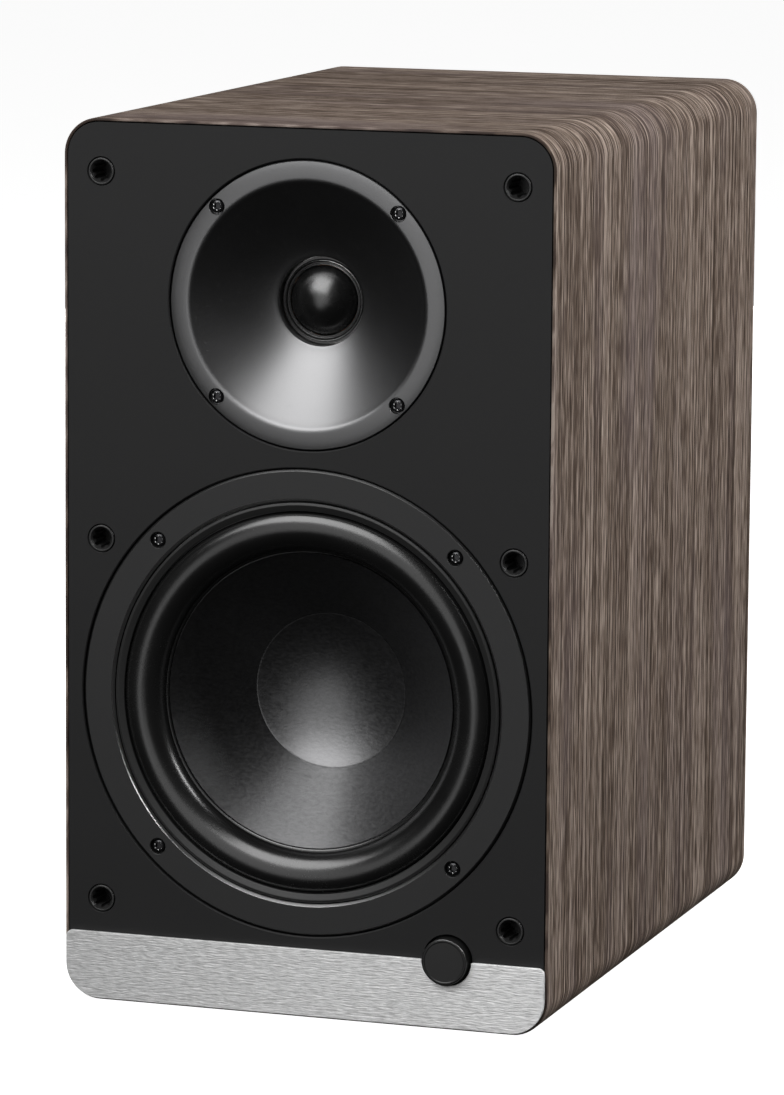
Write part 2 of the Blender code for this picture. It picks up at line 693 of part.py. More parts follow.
def make_boards():
    """The amplifier's main board with its heat sink, the power supply and the crossover."""
    back = 0.1842
    board = block("main_board", (-0.043, back - 0.0016, 0.066), (0.043, back, 0.143), CIRCUIT)
    join(
        board,
        block("amp_chip", (-0.020, back - 0.0036, 0.112), (0.020, back - 0.0010, 0.124)),
        rod("filter_cap_a", 0.005, back - 0.0140, back - 0.0010, None, -0.028, 0.080, SMALL),
        rod("filter_cap_b", 0.005, back - 0.0140, back - 0.0010, None, -0.012, 0.080, SMALL),
        block("switch_case", (0.0325, back - 0.0010, JACK_Z - 0.0038), (0.0415, DEPTH - 0.0063, JACK_Z + 0.0038)),
    )
    base, fin, reach = 0.0040, 0.0016, 0.0240
    foot = FRONT_Y + back - 0.0039
    pitch, fins = 0.0064, 9
    start = -pitch * (fins - 1) / 2 - fin / 2
    comb = [(start, foot), (start, foot - base - reach)]
    for i in range(fins):
        left = start + pitch * i
        comb.append((left + fin, foot - base - reach))
        if i < fins - 1:
            comb.append((left + fin, foot - base))
            comb.append((left + pitch, foot - base))
            comb.append((left + pitch, foot - base - reach))
    comb.append((-start, foot))
    slab("heat_sink", [comb], ALUMINIUM, 0.106, 0.130, "Z")

    back = 0.1775
    supply = block("power_supply", (-0.043, back - 0.0016, 0.029), (0.043, back, 0.061), CIRCUIT)
    join(
        supply,
        block("transformer", (-0.024, back - 0.0300, 0.032), (0.008, back - 0.0010, 0.058)),
        rod("reservoir_cap", 0.009, back - 0.0260, back - 0.0010, None, 0.026, 0.045, SMALL),
    )
    # the crossover lies on the floor of the cabinet, under the woofer
    crossover = block("crossover_board", (-0.040, 0.050, 0.0125), (0.020, 0.086, 0.0141), CIRCUIT)
    join(
        crossover,
        block("film_cap_a", (-0.036, 0.054, 0.0135), (-0.014, 0.066, 0.0250)),
        block("film_cap_b", (-0.036, 0.070, 0.0135), (-0.016, 0.081, 0.0230)),
    )
    coil = [circle(0.004, FRONT_Y + 0.068, 0.0120, MEDIUM)]
    join(crossover, slab("inductor", coil, None, 0.0135, 0.0250, "Z"))


def make_jacks():
    """The phono jacks, three sleeves on one moulded block."""
    middle = (min(JACK_XS) + max(JACK_XS)) / 2
    low, high = (middle - 0.021, 0.1845, JACK_Z - 0.006), (middle + 0.021, DEPTH - 0.0002, JACK_Z + 0.006)
    body = block("rca_sockets", low, high, BLACK_PLASTIC)
    for number, x in enumerate(JACK_XS):
        join(body, rod(f"jack_{number}", 0.0042, DEPTH - 0.004, PLATE_OUTER + 0.0085, None, x, JACK_Z, SMALL))
    for number, x in enumerate(JACK_XS):
        cut(body, rod(f"jack_bore_{number}", 0.0017, DEPTH - 0.003, PLATE_OUTER + 0.010, None, x, JACK_Z, SMALL))


def make_digital_socket(name, x, outer, inner, tongue):
    """A box-shaped socket with a hollow mouth and, in it, a contact tongue."""
    front, mouth, floor = 0.1845, PLATE_OUTER + 0.0006, PLATE_OUTER - 0.0085
    width, height = outer
    low, high = (x - width / 2, front, DIGITAL_Z - height / 2), (x + width / 2, mouth, DIGITAL_Z + height / 2)
    body = block(name, low, high, STEEL)
    width, height = inner
    hollow = rounded(x, DIGITAL_Z, width, height, 0.0008, 1)
    cut(body, slab(f"{name}_hollow", [hollow], None, floor, mouth + 0.001))
    width, height = tongue
    low = (x - width / 2, floor - 0.001, DIGITAL_Z - height / 2)
    high = (x + width / 2, mouth - 0.0015, DIGITAL_Z + height / 2)
    return join(body, block(f"{name}_tongue", low, high))


def make_channel_switch():
    """The left-right slide switch's button."""
    low = (CHANNEL_SWITCH_X - 0.0040, DEPTH - 0.0060, JACK_Z - 0.0016)
    high = (CHANNEL_SWITCH_X - 0.0005, PLATE_OUTER + 0.0018, JACK_Z + 0.0016)
    slider = block("channel_switch_slider", low, high, BLACK_PLASTIC)
    carried_by("channel_slide_axis", (CHANNEL_SWITCH_X, FRONT_Y + DEPTH, JACK_Z), slider)


def make_speaker_posts():
    """Two binding posts: a fixed base, and a thumb nut with its captive washer."""
    collar_back, tip = PLATE_OUTER + 0.0040, PLATE_OUTER + 0.0170
    for colour, x in POST_XS.items():
        plastic = RED_PLASTIC if colour == "red" else BLACK_PLASTIC
        base = [
            (0.0070, collar_back),
            (0.0030, collar_back),
            (0.0030, tip),
            (0.0021, tip),
            (0.0021, PLATE_OUTER + 0.0060),
            (0, PLATE_OUTER + 0.0060),
            (0, 0.1900),
            (0.0045, 0.1900),
            (0.0045, PLATE_OUTER + GAP),
            (0.0070, PLATE_OUTER + GAP),
        ]
        turned(f"speaker_post_{colour}", base, BRASS, x, POST_Z, MEDIUM)
        low, high = collar_back + GAP, collar_back + GAP + 0.0010
        washer = [(0.0058, low), (0.0058, high), (0.0034, high), (0.0034, low)]
        washer = turned(f"post_washer_{colour}", washer, BRASS, x, POST_Z, MEDIUM)
        low, high = high + GAP, tip + 0.0006
        nut = [(0.0065, low), (0.0065, high - 0.0006), (0.0059, high), (0.0034, high), (0.0034, low)]
        nut = turned(f"post_nut_{colour}", nut, plastic, x, POST_Z, MEDIUM)
        carried_by(f"post_{colour}_axis", (x, FRONT_Y + PLATE_OUTER, POST_Z), washer, nut)


def make_mains_inlet():
    """The moulded mains inlet, with three pins and a well for the rocker."""
    face = PLATE_OUTER + 0.0020
    flange = slab("mains_inlet", [rounded(0, MAINS_Z, 0.056, 0.029, 0.003, 2)], BLACK_PLASTIC, PLATE_OUTER + GAP, face)
    join(flange, block("inlet_body", (-0.025, 0.1780, MAINS_Z - 0.012), (0.025, face - 0.001, MAINS_Z + 0.012)))
    floor = face - 0.0165
    recess = rounded(INLET_X, MAINS_Z, 0.0240, 0.0165, 0.0025, 2)
    cut(flange, slab("inlet_recess", [recess], None, floor, face + 0.001))
    well = rounded(ROCKER_X, MAINS_Z, 0.0126, 0.0212, 0.0008, 1)
    cut(flange, slab("rocker_well", [well], None, face - 0.0140, face + 0.001))
    for number, (dx, dz) in enumerate(((0, 0.0040), (-0.0070, 0), (0.0070, 0))):
        x, z = INLET_X + dx, MAINS_Z + dz
        low, high = (x - 0.0010, floor - 0.001, z - 0.0020), (x + 0.0010, face - 0.004, z + 0.0020)
        join(flange, block(f"inlet_pin_{number}", low, high))
    return flange


def make_power_rocker():
    """The mains switch's rocker, tipped to one side on its pivot."""
    reach, rise, dip = 0.0092, 0.0034, 0.0017
    # outwards is +Y here: the two faces meet in a shallow valley over the pivot
    shape = [(rise, -reach), (dip, 0), (rise, reach), (-0.0015, reach), (-0.0055, 0.0035), (-0.0055, -0.0035)]
    shape.append((-0.0015, -reach))
    half = 0.0058
    rocker = slab("power_rocker", [shape], BLACK_PLASTIC, -half, half, "X")
    pivot = Matrix.Translation((ROCKER_X, FRONT_Y + ROCKER_PIVOT_DEPTH, MAINS_Z))
    rocker.matrix_world = pivot @ Matrix.Rotation(ROCKER_TILT, 4, "X") @ rocker.matrix_world
    return rocker


def make_rear():
    """Everything that the amplifier plate carries."""
    make_amp_plate()
    make_boards()
    make_jacks()
    make_digital_socket("hdmi_socket", HDMI_X, (0.0150, 0.0058), (0.0138, 0.0046), (0.0110, 0.0009))
    make_digital_socket("usb_socket", USB_X, (0.0120, 0.0108), (0.0084, 0.0078), (0.0054, 0.0030))
    make_digital_socket("optical_socket", OPTICAL_X, (0.0096, 0.0096), (0.0078, 0.0078), (0.0030, 0.0030))
    make_channel_switch()
    make_speaker_posts()
    make_mains_inlet()
    make_power_rocker()


# ---------------------------------------------------------------- the whole speaker
def main():
    """Builds the speaker from the front to the back."""
    make_cabinet_shell()
    make_front_baffle()
    make_rear_panel()
    make_window_brace()
    make_port_tube()
    make_wadding()
    make_trim_plate()
    make_grille_sockets()
    make_tweeter()
    make_woofer_frame()
    make_woofer_surround()
    make_woofer_cone()
    make_spider()
    make_woofer_motor()
    make_volume_control()
    make_rear()


main()
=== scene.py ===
"""Looks of a compact powered bookshelf speaker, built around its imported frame.

Every visible piece is modelled again, finer than the frame's solids, in the place that the frame gives.
Lengths are metres. A depth is measured backwards, along +Y, from the plane of the front baffle.
"""

import logging
import math
from dataclasses import dataclass, field
from enum import Enum
from typing import Any, Callable, Iterable, Sequence, Union

import bmesh
import bpy
from mathutils import Matrix, Vector


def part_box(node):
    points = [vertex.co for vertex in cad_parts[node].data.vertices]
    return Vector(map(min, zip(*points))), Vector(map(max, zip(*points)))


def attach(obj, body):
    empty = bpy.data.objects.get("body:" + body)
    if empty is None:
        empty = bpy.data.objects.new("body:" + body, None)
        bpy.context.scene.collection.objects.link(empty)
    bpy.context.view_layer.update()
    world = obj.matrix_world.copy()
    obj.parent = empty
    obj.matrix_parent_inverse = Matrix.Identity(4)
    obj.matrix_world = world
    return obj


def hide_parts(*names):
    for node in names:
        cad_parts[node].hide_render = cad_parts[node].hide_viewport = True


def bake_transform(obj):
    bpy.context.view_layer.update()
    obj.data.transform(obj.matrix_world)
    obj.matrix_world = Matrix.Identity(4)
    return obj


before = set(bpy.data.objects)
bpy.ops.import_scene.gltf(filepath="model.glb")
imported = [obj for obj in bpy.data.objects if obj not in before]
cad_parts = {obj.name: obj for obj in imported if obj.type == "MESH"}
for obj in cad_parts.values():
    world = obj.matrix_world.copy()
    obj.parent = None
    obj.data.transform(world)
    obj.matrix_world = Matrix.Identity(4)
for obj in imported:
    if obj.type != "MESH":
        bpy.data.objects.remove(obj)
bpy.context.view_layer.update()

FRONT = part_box("front_baffle")[0].y
FINE, MEDIUM, COARSE = 144, 96, 48  # segments round a turned piece
TOUCH = 1e-6  # points nearer than this are the same point
MARGIN = 1e-5  # slack in a test of place
CLEAR = 0.001  # how far a cutting tool passes a face

Colour = tuple[float, float, float]
Point = tuple[float, float]
Corner = tuple[float, float, float]  # x, depth and z
Number = Union["Wire", float]

log = logging.getLogger("speaker")


# ---------------------------------------------------------------- where things are
@dataclass(frozen=True)
class Spot:
    """The space that one node of the frame takes up."""

    low: Vector
    high: Vector

    @classmethod
    def of(cls, node: str) -> "Spot":
        """The space of the named node."""
        return cls(*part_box(node))

    @property
    def middle(self) -> Vector:
        """The middle of the space."""
        return (self.low + self.high) / 2

    @property
    def corners(self) -> tuple[Corner, Corner]:
        """Its lowest and its highest x, depth and z."""
        return (self.low.x, self.front, self.low.z), (self.high.x, self.back, self.high.z)

    @property
    def size(self) -> Vector:
        """The width, depth and height of the space."""
        return self.high - self.low

    @property
    def front(self) -> float:
        """Depth of its front face."""
        return self.low.y - FRONT

    @property
    def back(self) -> float:
        """Depth of its back face."""
        return self.high.y - FRONT


def softened(points: Sequence[tuple[float, ...]], steps: int = 3) -> list[Point]:
    """Rounds the corners of a profile.

    Args:
        points: (radius, depth) or (radius, depth, fillet) for each corner in turn.
        steps: segments in each fillet.

    Returns:
        The profile with an arc in place of each corner that has a fillet.
    """
    smooth: list[Point] = []
    for index, point in enumerate(points):
        if len(point) < 3 or not point[2]:
            smooth.append((point[0], point[1]))
            continue
        here = Vector(point[:2])
        before = Vector(points[index - 1][:2]) - here
        after = Vector(points[(index + 1) % len(points)][:2]) - here
        half = before.angle(after) / 2
        reach = point[2] / math.tan(half)
        centre = here + (before.normalized() + after.normalized()).normalized() * point[2] / math.sin(half)
        start = here + before.normalized() * reach - centre
        turn = start.angle_signed(here + after.normalized() * reach - centre)
        for step in range(steps + 1):
            angle = -turn * step / steps
            spun = Vector(
                (
                    start.x * math.cos(angle) - start.y * math.sin(angle),
                    start.x * math.sin(angle) + start.y * math.cos(angle),
                )
            )
            smooth.append((centre.x + spun.x, centre.y + spun.y))
    return smooth


# ---------------------------------------------------------------- modelling
class Part(Enum):
    """What a selection picks, with its name in a mesh and in a selection mode."""

    EDGES = ("edges", "EDGE")
    FACES = ("faces", "FACE")


def deselect_all() -> None:
    """Leaves edit mode and selects nothing."""
    active = bpy.context.view_layer.objects.active
    if active and active.mode != "OBJECT":
        bpy.ops.object.mode_set(mode="OBJECT")
    bpy.ops.object.select_all(action="DESELECT")


class Piece:
    """A mesh object on the bench, with the operators that shape it."""

    def __init__(self, name: str) -> None:
        """Takes the active object as the piece, with its place put into its mesh.

        Args:
            name: the piece's name.
        """
        self.obj = bpy.context.view_layer.objects.active
        self.obj.name = name
        self.obj.data.name = name
        bpy.ops.object.transform_apply(location=True, rotation=True, scale=True)

    # -- starting shapes
    @classmethod
    def block(cls, name: str, low: Sequence[float], high: Sequence[float]) -> "Piece":
        """A box to be worked on.

        Args:
            name: the piece's name.
            low: lowest x, depth and z.
            high: highest x, depth and z.

        Returns:
            The new piece.
        """
        size = [b - a for a, b in zip(low, high)]
        middle = [(a + b) / 2 for a, b in zip(low, high)]
        deselect_all()
        bpy.ops.mesh.primitive_cube_add(
            size=1, location=(middle[0], FRONT + middle[1], middle[2]), scale=size
        )
        return cls(name)

    @classmethod
    def board(
        cls, name: str, low: Sequence[float], high: Sequence[float], corner: float, steps: int = 8
    ) -> "Piece":
        """A box whose four edges along its depth are rounded.

        Args:
            name: the piece's name.
            low: lowest x, depth and z.
            high: highest x, depth and z.
            corner: radius of the rounded edges.
            steps: segments in each rounded edge.

        Returns:
            The new piece.
        """
        piece = cls.block(name, low, high)
        return piece.pick(Part.EDGES, along_depth).bevel(corner, steps)

    @classmethod
    def rod(
        cls, name: str, radius: float, front: float, back: float, x: float, z: float, sides: int
    ) -> "Piece":
        """A plain rod along the depth, such as a tool for cutting a hole.

        Args:
            name: the piece's name.
            radius: its radius.
            front: depth of its front end.
            back: depth of its back end.
            x: place of its axis.
            z: place of its axis.
            sides: number of sides.

        Returns:
            The new piece.
        """
        deselect_all()
        bpy.ops.mesh.primitive_cylinder_add(
            vertices=sides,
            radius=radius,
            depth=back - front,
            location=(x, FRONT + (front + back) / 2, z),
            rotation=(math.pi / 2, 0, 0),
        )
        return cls(name)

    @classmethod
    def turned(
        cls, name: str, profile: Sequence[tuple[float, ...]], x: float, z: float, steps: int = MEDIUM
    ) -> "Piece":
        """A turned piece, drawn ring by ring with extrude and scale.

        Args:
            name: the piece's name.
            profile: (radius, depth) points, with an optional fillet; the ends may be on the axis.
            x: place of its axis.
            z: place of its axis.
            steps: segments round it.

        Returns:
            The new piece, closed.
        """
        outline = softened(profile)
        opens, closes = outline[0][0] == 0, outline[-1][0] == 0
        rings = [point for point in outline if point[0] > 0]
        if not opens and not closes:
            rings.append(rings[0])
        deselect_all()
        bpy.ops.mesh.primitive_circle_add(
            vertices=steps,
            radius=rings[0][0],
            location=(x, FRONT + rings[0][1], z),
            rotation=(math.pi / 2, 0, 0),
        )
        piece = cls(name)
        bpy.ops.object.mode_set(mode="EDIT")
        bpy.ops.mesh.select_mode(type="EDGE")
        bpy.ops.mesh.select_all(action="SELECT")
        for (radius, depth), (next_radius, next_depth) in zip(rings, rings[1:]):
            piece.extrude((0, next_depth - depth, 0))
            share = next_radius / radius
            bpy.ops.transform.resize(value=(share, 1, share), center_override=(x, FRONT + next_depth, z))
        if closes:
            piece.extrude((0, outline[-1][1] - rings[-1][1], 0))
            bpy.ops.mesh.merge(type="CENTER")
        if opens:
            piece.pick(Part.EDGES, lambda edge: edge.is_boundary)
            piece.extrude((0, outline[0][1] - rings[0][1], 0))
            bpy.ops.mesh.merge(type="CENTER")
        return piece.weld()

    # -- selecting
    def pick(self, part: Part, test: Callable[[Any], bool]) -> "Piece":
        """Selects, in edit mode, the parts that pass a test.

        Args:
            part: whether edges or faces are picked.
            test: says whether one of them is wanted.

        Returns:
            The same piece.
        """
        table, mode = part.value
        if self.obj.mode != "EDIT":
            deselect_all()
            self.obj.select_set(True)
            bpy.context.view_layer.objects.active = self.obj
            bpy.ops.object.mode_set(mode="EDIT")
        bpy.ops.mesh.select_mode(type=mode)
        bpy.ops.mesh.select_all(action="DESELECT")
        cage = bmesh.from_edit_mesh(self.obj.data)
        for found in getattr(cage, table):
            if test(found):
                found.select_set(True)
        bmesh.update_edit_mesh(self.obj.data)
        return self

    # -- shaping what is selected
    def extrude(self, shift: Sequence[float]) -> "Piece":
        """Extrudes the selection by a shift."""
        bpy.ops.mesh.extrude_region_move(TRANSFORM_OT_translate={"value": shift})
        return self

    def bevel(self, width: float, steps: int = 2) -> "Piece":
        """Rounds the selected edges."""
        bpy.ops.mesh.bevel(offset=width, offset_type="OFFSET", segments=steps, affect="EDGES")
        return self

    def inset(self, width: float) -> "Piece":
        """Insets the selected faces."""
        bpy.ops.mesh.inset(thickness=width, use_even_offset=True)
        return self

    def scale(self, share: Sequence[float], about: Sequence[float]) -> "Piece":
        """Scales the selection about a point."""
        bpy.ops.transform.resize(value=share, center_override=about)
        return self

    # -- the whole piece
    def weld(self) -> "Piece":
        """Merges doubled points and turns every face outwards.

        Returns:
            The same piece.
        """
        if self.obj.mode != "EDIT":
            self.activate()
            bpy.ops.object.mode_set(mode="EDIT")
        bpy.ops.mesh.select_all(action="SELECT")
        bpy.ops.mesh.remove_doubles(threshold=TOUCH)
        bpy.ops.mesh.normals_make_consistent(inside=False)
        bpy.ops.object.mode_set(mode="OBJECT")
        return self

    def activate(self) -> "Piece":
        """Makes this the only selected object.

        Returns:
            The same piece.
        """
        deselect_all()
        self.obj.select_set(True)
        bpy.context.view_layer.objects.active = self.obj
        return self

    def modify(self, kind: str, **settings: Any) -> "Piece":
        """Adds a modifier and applies it.

        Args:
            kind: the modifier's type.
            settings: its values.

        Returns:
            The same piece.
        """
        self.activate()
        bpy.ops.object.modifier_add(type=kind)
        modifier = self.obj.modifiers[-1]
        for key, value in settings.items():
            setattr(modifier, key, value)
        bpy.ops.object.modifier_apply(modifier=modifier.name)
        return self

    def cut(self, *tools: "Piece") -> "Piece":
        """Cuts the tools' shapes away and throws the tools out.

        Args:
            tools: the closed shapes to cut with.

        Returns:
            The same piece.
        """
        for tool in tools:
            deselect_all()
            self.modify("BOOLEAN", operation="DIFFERENCE", object=tool.obj, solver="EXACT")
            bpy.data.objects.remove(tool.obj)
        return self

    def ease(self, width: float, steps: int = 2, angle: float = 40) -> "Piece":
        """Rounds every edge sharper than an angle, in degrees."""
        return self.modify(
            "BEVEL", width=width, segments=steps, limit_method="ANGLE", angle_limit=math.radians(angle)
        )

    def join(self, *others: "Piece") -> "Piece":
        """Joins other bodies, with their finishes, to this piece.

        Args:
            others: the bodies that become part of it.

        Returns:
            The same piece.
        """
        self.activate()
        for other in others:
            other.obj.select_set(True)
        bpy.ops.object.join()
        return self

    def copy(self, name: str, shift: Sequence[float]) -> "Piece":
        """A copy with its own mesh, moved by a shift.

        Args:
            name: the copy's name.
            shift: how far it is moved.

        Returns:
            The copy.
        """
        self.activate()
        bpy.ops.object.duplicate(linked=False)
        bpy.ops.transform.translate(value=shift)
        return Piece(name)

    def paint(self, finish: "Finish") -> "Piece":
        """Gives the whole piece one finish.

        Args:
            finish: its finish.

        Returns:
            The same piece.
        """
        self.obj.data.materials.clear()
        self.obj.data.materials.append(finish.material())
        return self

    def paint_over(self, finish: "Finish") -> "Piece":
        """Swaps the piece's first finish for another one."""
        self.obj.data.materials[0] = finish.material()
        return self

    def paint_where(self, finish: "Finish", test: Callable[[Any], bool]) -> "Piece":
        """Gives a second finish to the faces that pass a test.

        Args:
            finish: the second finish.
            test: says whether a face takes it.

        Returns:
            The same piece.
        """
        self.obj.data.materials.append(finish.material())
        number = len(self.obj.data.materials) - 1
        for face in self.obj.data.polygons:
            if test(face):
                face.material_index = number
        return self

    def fit(self, body: str, slot: str, *nodes: str, angle: float = 32) -> bpy.types.Object:
        """Shades the finished piece, fixes it to its body and reports it.

        Args:
            body: the body that it rides on.
            slot: not used.
            nodes: the frame's nodes that it stands for.
            angle: edges sharper than this many degrees stay sharp.

        Returns:
            The piece's object.
        """
        self.activate()
        bpy.ops.object.shade_smooth_by_angle(angle=math.radians(angle))
        self.modify("WEIGHTED_NORMAL", keep_sharp=True)
        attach(self.obj, body)
        if nodes:
            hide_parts(*nodes)
        log.info("%s: %d faces on %s", self.obj.name, len(self.obj.data.polygons), body)
        return self.obj


def along_depth(edge: Any) -> bool:
    """Whether an edge runs along the depth."""
    start, end = (vertex.co for vertex in edge.verts)
    return abs(start.x - end.x) < TOUCH and abs(start.z - end.z) < TOUCH


def off_axis(place: Vector, x: float, z: float) -> float:
    """How far a place is from an axis along the depth."""
    return math.hypot(place.x - x, place.z - z)


def faces_front(face: Any) -> bool:
    """Whether a face looks to the front."""
    return face.normal.y < -0.9


def faces_back(face: Any) -> bool:
    """Whether a face looks to the back."""
    return face.normal.y > 0.9


# ---------------------------------------------------------------- shader maths
@dataclass(frozen=True)
class Wire:
    """A value carried by a socket; sums on it add Math nodes."""

    sheet: "Sheet"
    socket: bpy.types.NodeSocket

    def __add__(self, other: Number) -> "Wire":
        """Sum."""
        return self.sheet.math("ADD", self, other)

    def __sub__(self, other: Number) -> "Wire":
        """Difference."""
        return self.sheet.math("SUBTRACT", self, other)

    def __rsub__(self, other: Number) -> "Wire":
        """Difference from a number."""
        return self.sheet.math("SUBTRACT", other, self)

    def __mul__(self, other: Number) -> "Wire":
        """Product."""
        return self.sheet.math("MULTIPLY", self, other)

    __radd__ = __add__
    __rmul__ = __mul__


class Sheet:
    """The node sheet of one material."""

    def __init__(self, name: str) -> None:
        """Starts a material with a plain Principled shader.

        Args:
            name: the material's name.
        """
        self.material = bpy.data.materials.new(name)
        self.material.use_nodes = True
        self.tree = self.material.node_tree
        self.shader = self.tree.nodes["Principled BSDF"]

    def feed(self, socket: bpy.types.NodeSocket, value: Any) -> None:
        """Links a wire to a socket, or sets a plain value on it.

        Args:
            socket: the socket.
            value: a wire, a number or a colour.
        """
        if isinstance(value, Wire):
            self.tree.links.new(value.socket, socket)
        elif socket.type == "RGBA":
            socket.default_value = (*value[:3], 1.0)
        else:
            socket.default_value = value

    def node(
        self, kind: str, settings: dict[str, Any] | None = None, inputs: dict[Any, Any] | None = None
    ) -> bpy.types.Node:
        """Adds any node.

        Args:
            kind: the node's type.
            settings: its own values, set first; "stops" are a ramp's (place, colour) pairs.
            inputs: a value or wire for each socket, by name or number.

        Returns:
            The new node.
        """
        made = self.tree.nodes.new(kind)
        for key, value in (settings or {}).items():
            if key == "stops":
                elements = made.color_ramp.elements
                while len(elements) < len(value):
                    elements.new(0.5)
                for element, (place, colour) in zip(elements, value):
                    element.position = place
                    element.color = (*colour, 1.0)
            else:
                setattr(made, key, value)
        for key, value in (inputs or {}).items():
            self.feed(made.inputs[key], value)
        return made

    def wire(self, kind: str, settings: dict[str, Any], inputs: dict[Any, Any], output: Any = 0) -> Wire:
        """Adds any node and gives one of its outputs."""
        return Wire(self, self.node(kind, settings, inputs).outputs[output])

    def math(self, operation: str, first: Number, second: Number = 0.0, clamp: bool = False) -> Wire:
        """Adds a Math node."""
        return self.wire(
            "ShaderNodeMath", {"operation": operation, "use_clamp": clamp}, {0: first, 1: second}
        )

    def place(self) -> tuple[Wire, Wire, Wire]:
        """The point's own x, y and z in metres.

        Returns:
            The three wires.
        """
        point = self.wire("ShaderNodeTexCoord", {}, {}, "Object")
        split = self.node("ShaderNodeSeparateXYZ", {}, {0: point})
        return Wire(self, split.outputs[0]), Wire(self, split.outputs[1]), Wire(self, split.outputs[2])

    def vector(self, x: Number, y: Number, z: Number = 0.0) -> Wire:
        """A vector of three values."""
        return self.wire("ShaderNodeCombineXYZ", {}, {0: x, 1: y, 2: z})

    def noise(self, at: Wire, scale: float = 1.0, detail: float = 2.0, rough: float = 0.5) -> Wire:
        """Smooth noise between 0 and 1."""
        inputs = {"Vector": at, "Scale": scale, "Detail": detail, "Roughness": rough}
        return self.wire("ShaderNodeTexNoise", {"noise_dimensions": "3D"}, inputs)

    def map(self, value: Wire, low: float, high: float, to_low: float = 0.0, to_high: float = 1.0) -> Wire:
        """Carries a range over to another one, and holds its ends."""
        inputs = {0: value, 1: low, 2: high, 3: to_low, 4: to_high}
        return self.wire("ShaderNodeMapRange", {"clamp": True}, inputs)

    def ramp(self, value: Wire, stops: Sequence[tuple[float, Colour]]) -> Wire:
        """Colours along a value."""
        return self.wire("ShaderNodeValToRGB", {"stops": stops}, {0: value})

    def mix(self, share: Number, first: Any, second: Any) -> Wire:
        """A mix of two colours."""
        return self.wire("ShaderNodeMix", {"data_type": "RGBA"}, {0: share, 6: first, 7: second}, 2)

    def shade(self, share: Wire, colour: Any, darkest: float, lightest: float) -> Wire:
        """A colour made darker or lighter by a value from 0 to 1.

        Args:
            share: the value.
            colour: the colour, or a wire that carries one.
            darkest: the factor at 0.
            lightest: the factor at 1.

        Returns:
            The shaded colour.
        """
        level = self.map(share, 0.0, 1.0, darkest, lightest)
        grey = self.vector(level, level, level)
        settings = {"data_type": "RGBA", "blend_type": "MULTIPLY"}
        return self.wire("ShaderNodeMix", settings, {0: 1.0, 6: colour, 7: grey}, 2)

    def bump(self, height: Wire, depth: float, strength: float = 1.0, under: Wire | None = None) -> Wire:
        """A surface normal from a height of 0 to 1 that stands for a depth in metres.

        Args:
            height: the height.
            depth: what a height of 1 stands for.
            strength: how strongly the light shows it.
            under: a normal that the relief lies on.

        Returns:
            The normal.
        """
        inputs: dict[Any, Any] = {"Strength": strength, "Distance": depth, "Height": height}
        if under:
            inputs["Normal"] = under
        return self.wire("ShaderNodeBump", {}, inputs)

    def finish(self, **inputs: Any) -> None:
        """Feeds the Principled shader; spaces in a socket's name are written as underscores."""
        for key, value in inputs.items():
            self.feed(self.shader.inputs[key.replace("_", " ")], value)


# ---------------------------------------------------------------- finishes
@dataclass(frozen=True)
class Finish:
    """A finish with its name and main colour."""

    name: str
    colour: Colour

    def material(self) -> bpy.types.Material:
        """The finish's material, made when it is first asked for.

        Returns:
            The material.
        """
        label = f"fine_{self.name}"
        made = bpy.data.materials.get(label)
        if made is None:
            sheet = Sheet(label)
            self.dress(sheet)
            made = sheet.material
        return made

    def dress(self, sheet: Sheet) -> None:
        """Adds the finish's nodes."""
        raise NotImplementedError


@dataclass(frozen=True)
class WalnutFoil(Finish):
    """Wood-look foil whose grain runs round the cabinet and whose stripes follow its depth."""

    dark: Colour = (0.045, 0.031, 0.024)
    light: Colour = (0.40, 0.33, 0.28)
    mauve: Colour = (0.150, 0.118, 0.126)

    def dress(self, sheet: Sheet) -> None:
        """Adds the finish's nodes.

        Args:
            sheet: the material's node sheet.
        """
        x, y, z = sheet.place()
        run = z - x
        drift = sheet.noise(sheet.vector(run * 9.0, y * 30.0, 1.7), detail=2.0)
        across = y + (drift - 0.5) * 0.0012
        bands = sheet.noise(sheet.vector(run * 2.0, across * 95.0, 4.1), detail=2.0)
        stripes = sheet.map(
            sheet.noise(sheet.vector(run * 9.0, across * 1900.0, 9.3), detail=1.0), 0.35, 0.65
        )
        dashes = sheet.map(
            sheet.noise(sheet.vector(run * 95.0, across * 2000.0, 2.9), detail=2.0), 0.35, 0.65
        )
        fibres = sheet.map(
            sheet.noise(sheet.vector(run * 240.0, across * 2100.0, 7.7), detail=1.0), 0.3, 0.7
        )
        tone = bands * 0.26 + stripes * 0.38 + dashes * 0.38 + fibres * 0.10
        tone = sheet.map(tone, 0.40, 0.80)
        wood = sheet.ramp(
            tone,
            [
                (0.0, self.dark),
                (0.30, (0.098, 0.070, 0.053)),
                (0.52, self.colour),
                (0.76, (0.245, 0.192, 0.160)),
                (1.0, self.light),
            ],
        )
        tint = sheet.noise(sheet.vector(run * 7.0, across * 48.0, 5.5), detail=2.0)
        wood = sheet.mix(sheet.map(tint, 0.50, 0.74, 0.0, 0.35), wood, self.mauve)
        height = tone * 0.6 + fibres * 0.4
        sheet.finish(
            Base_Color=wood,
            Roughness=sheet.map(tone, 0.0, 1.0, 0.68, 0.54),
            Normal=sheet.bump(height, 0.00005, 0.7),
            Specular_IOR_Level=0.16,
        )


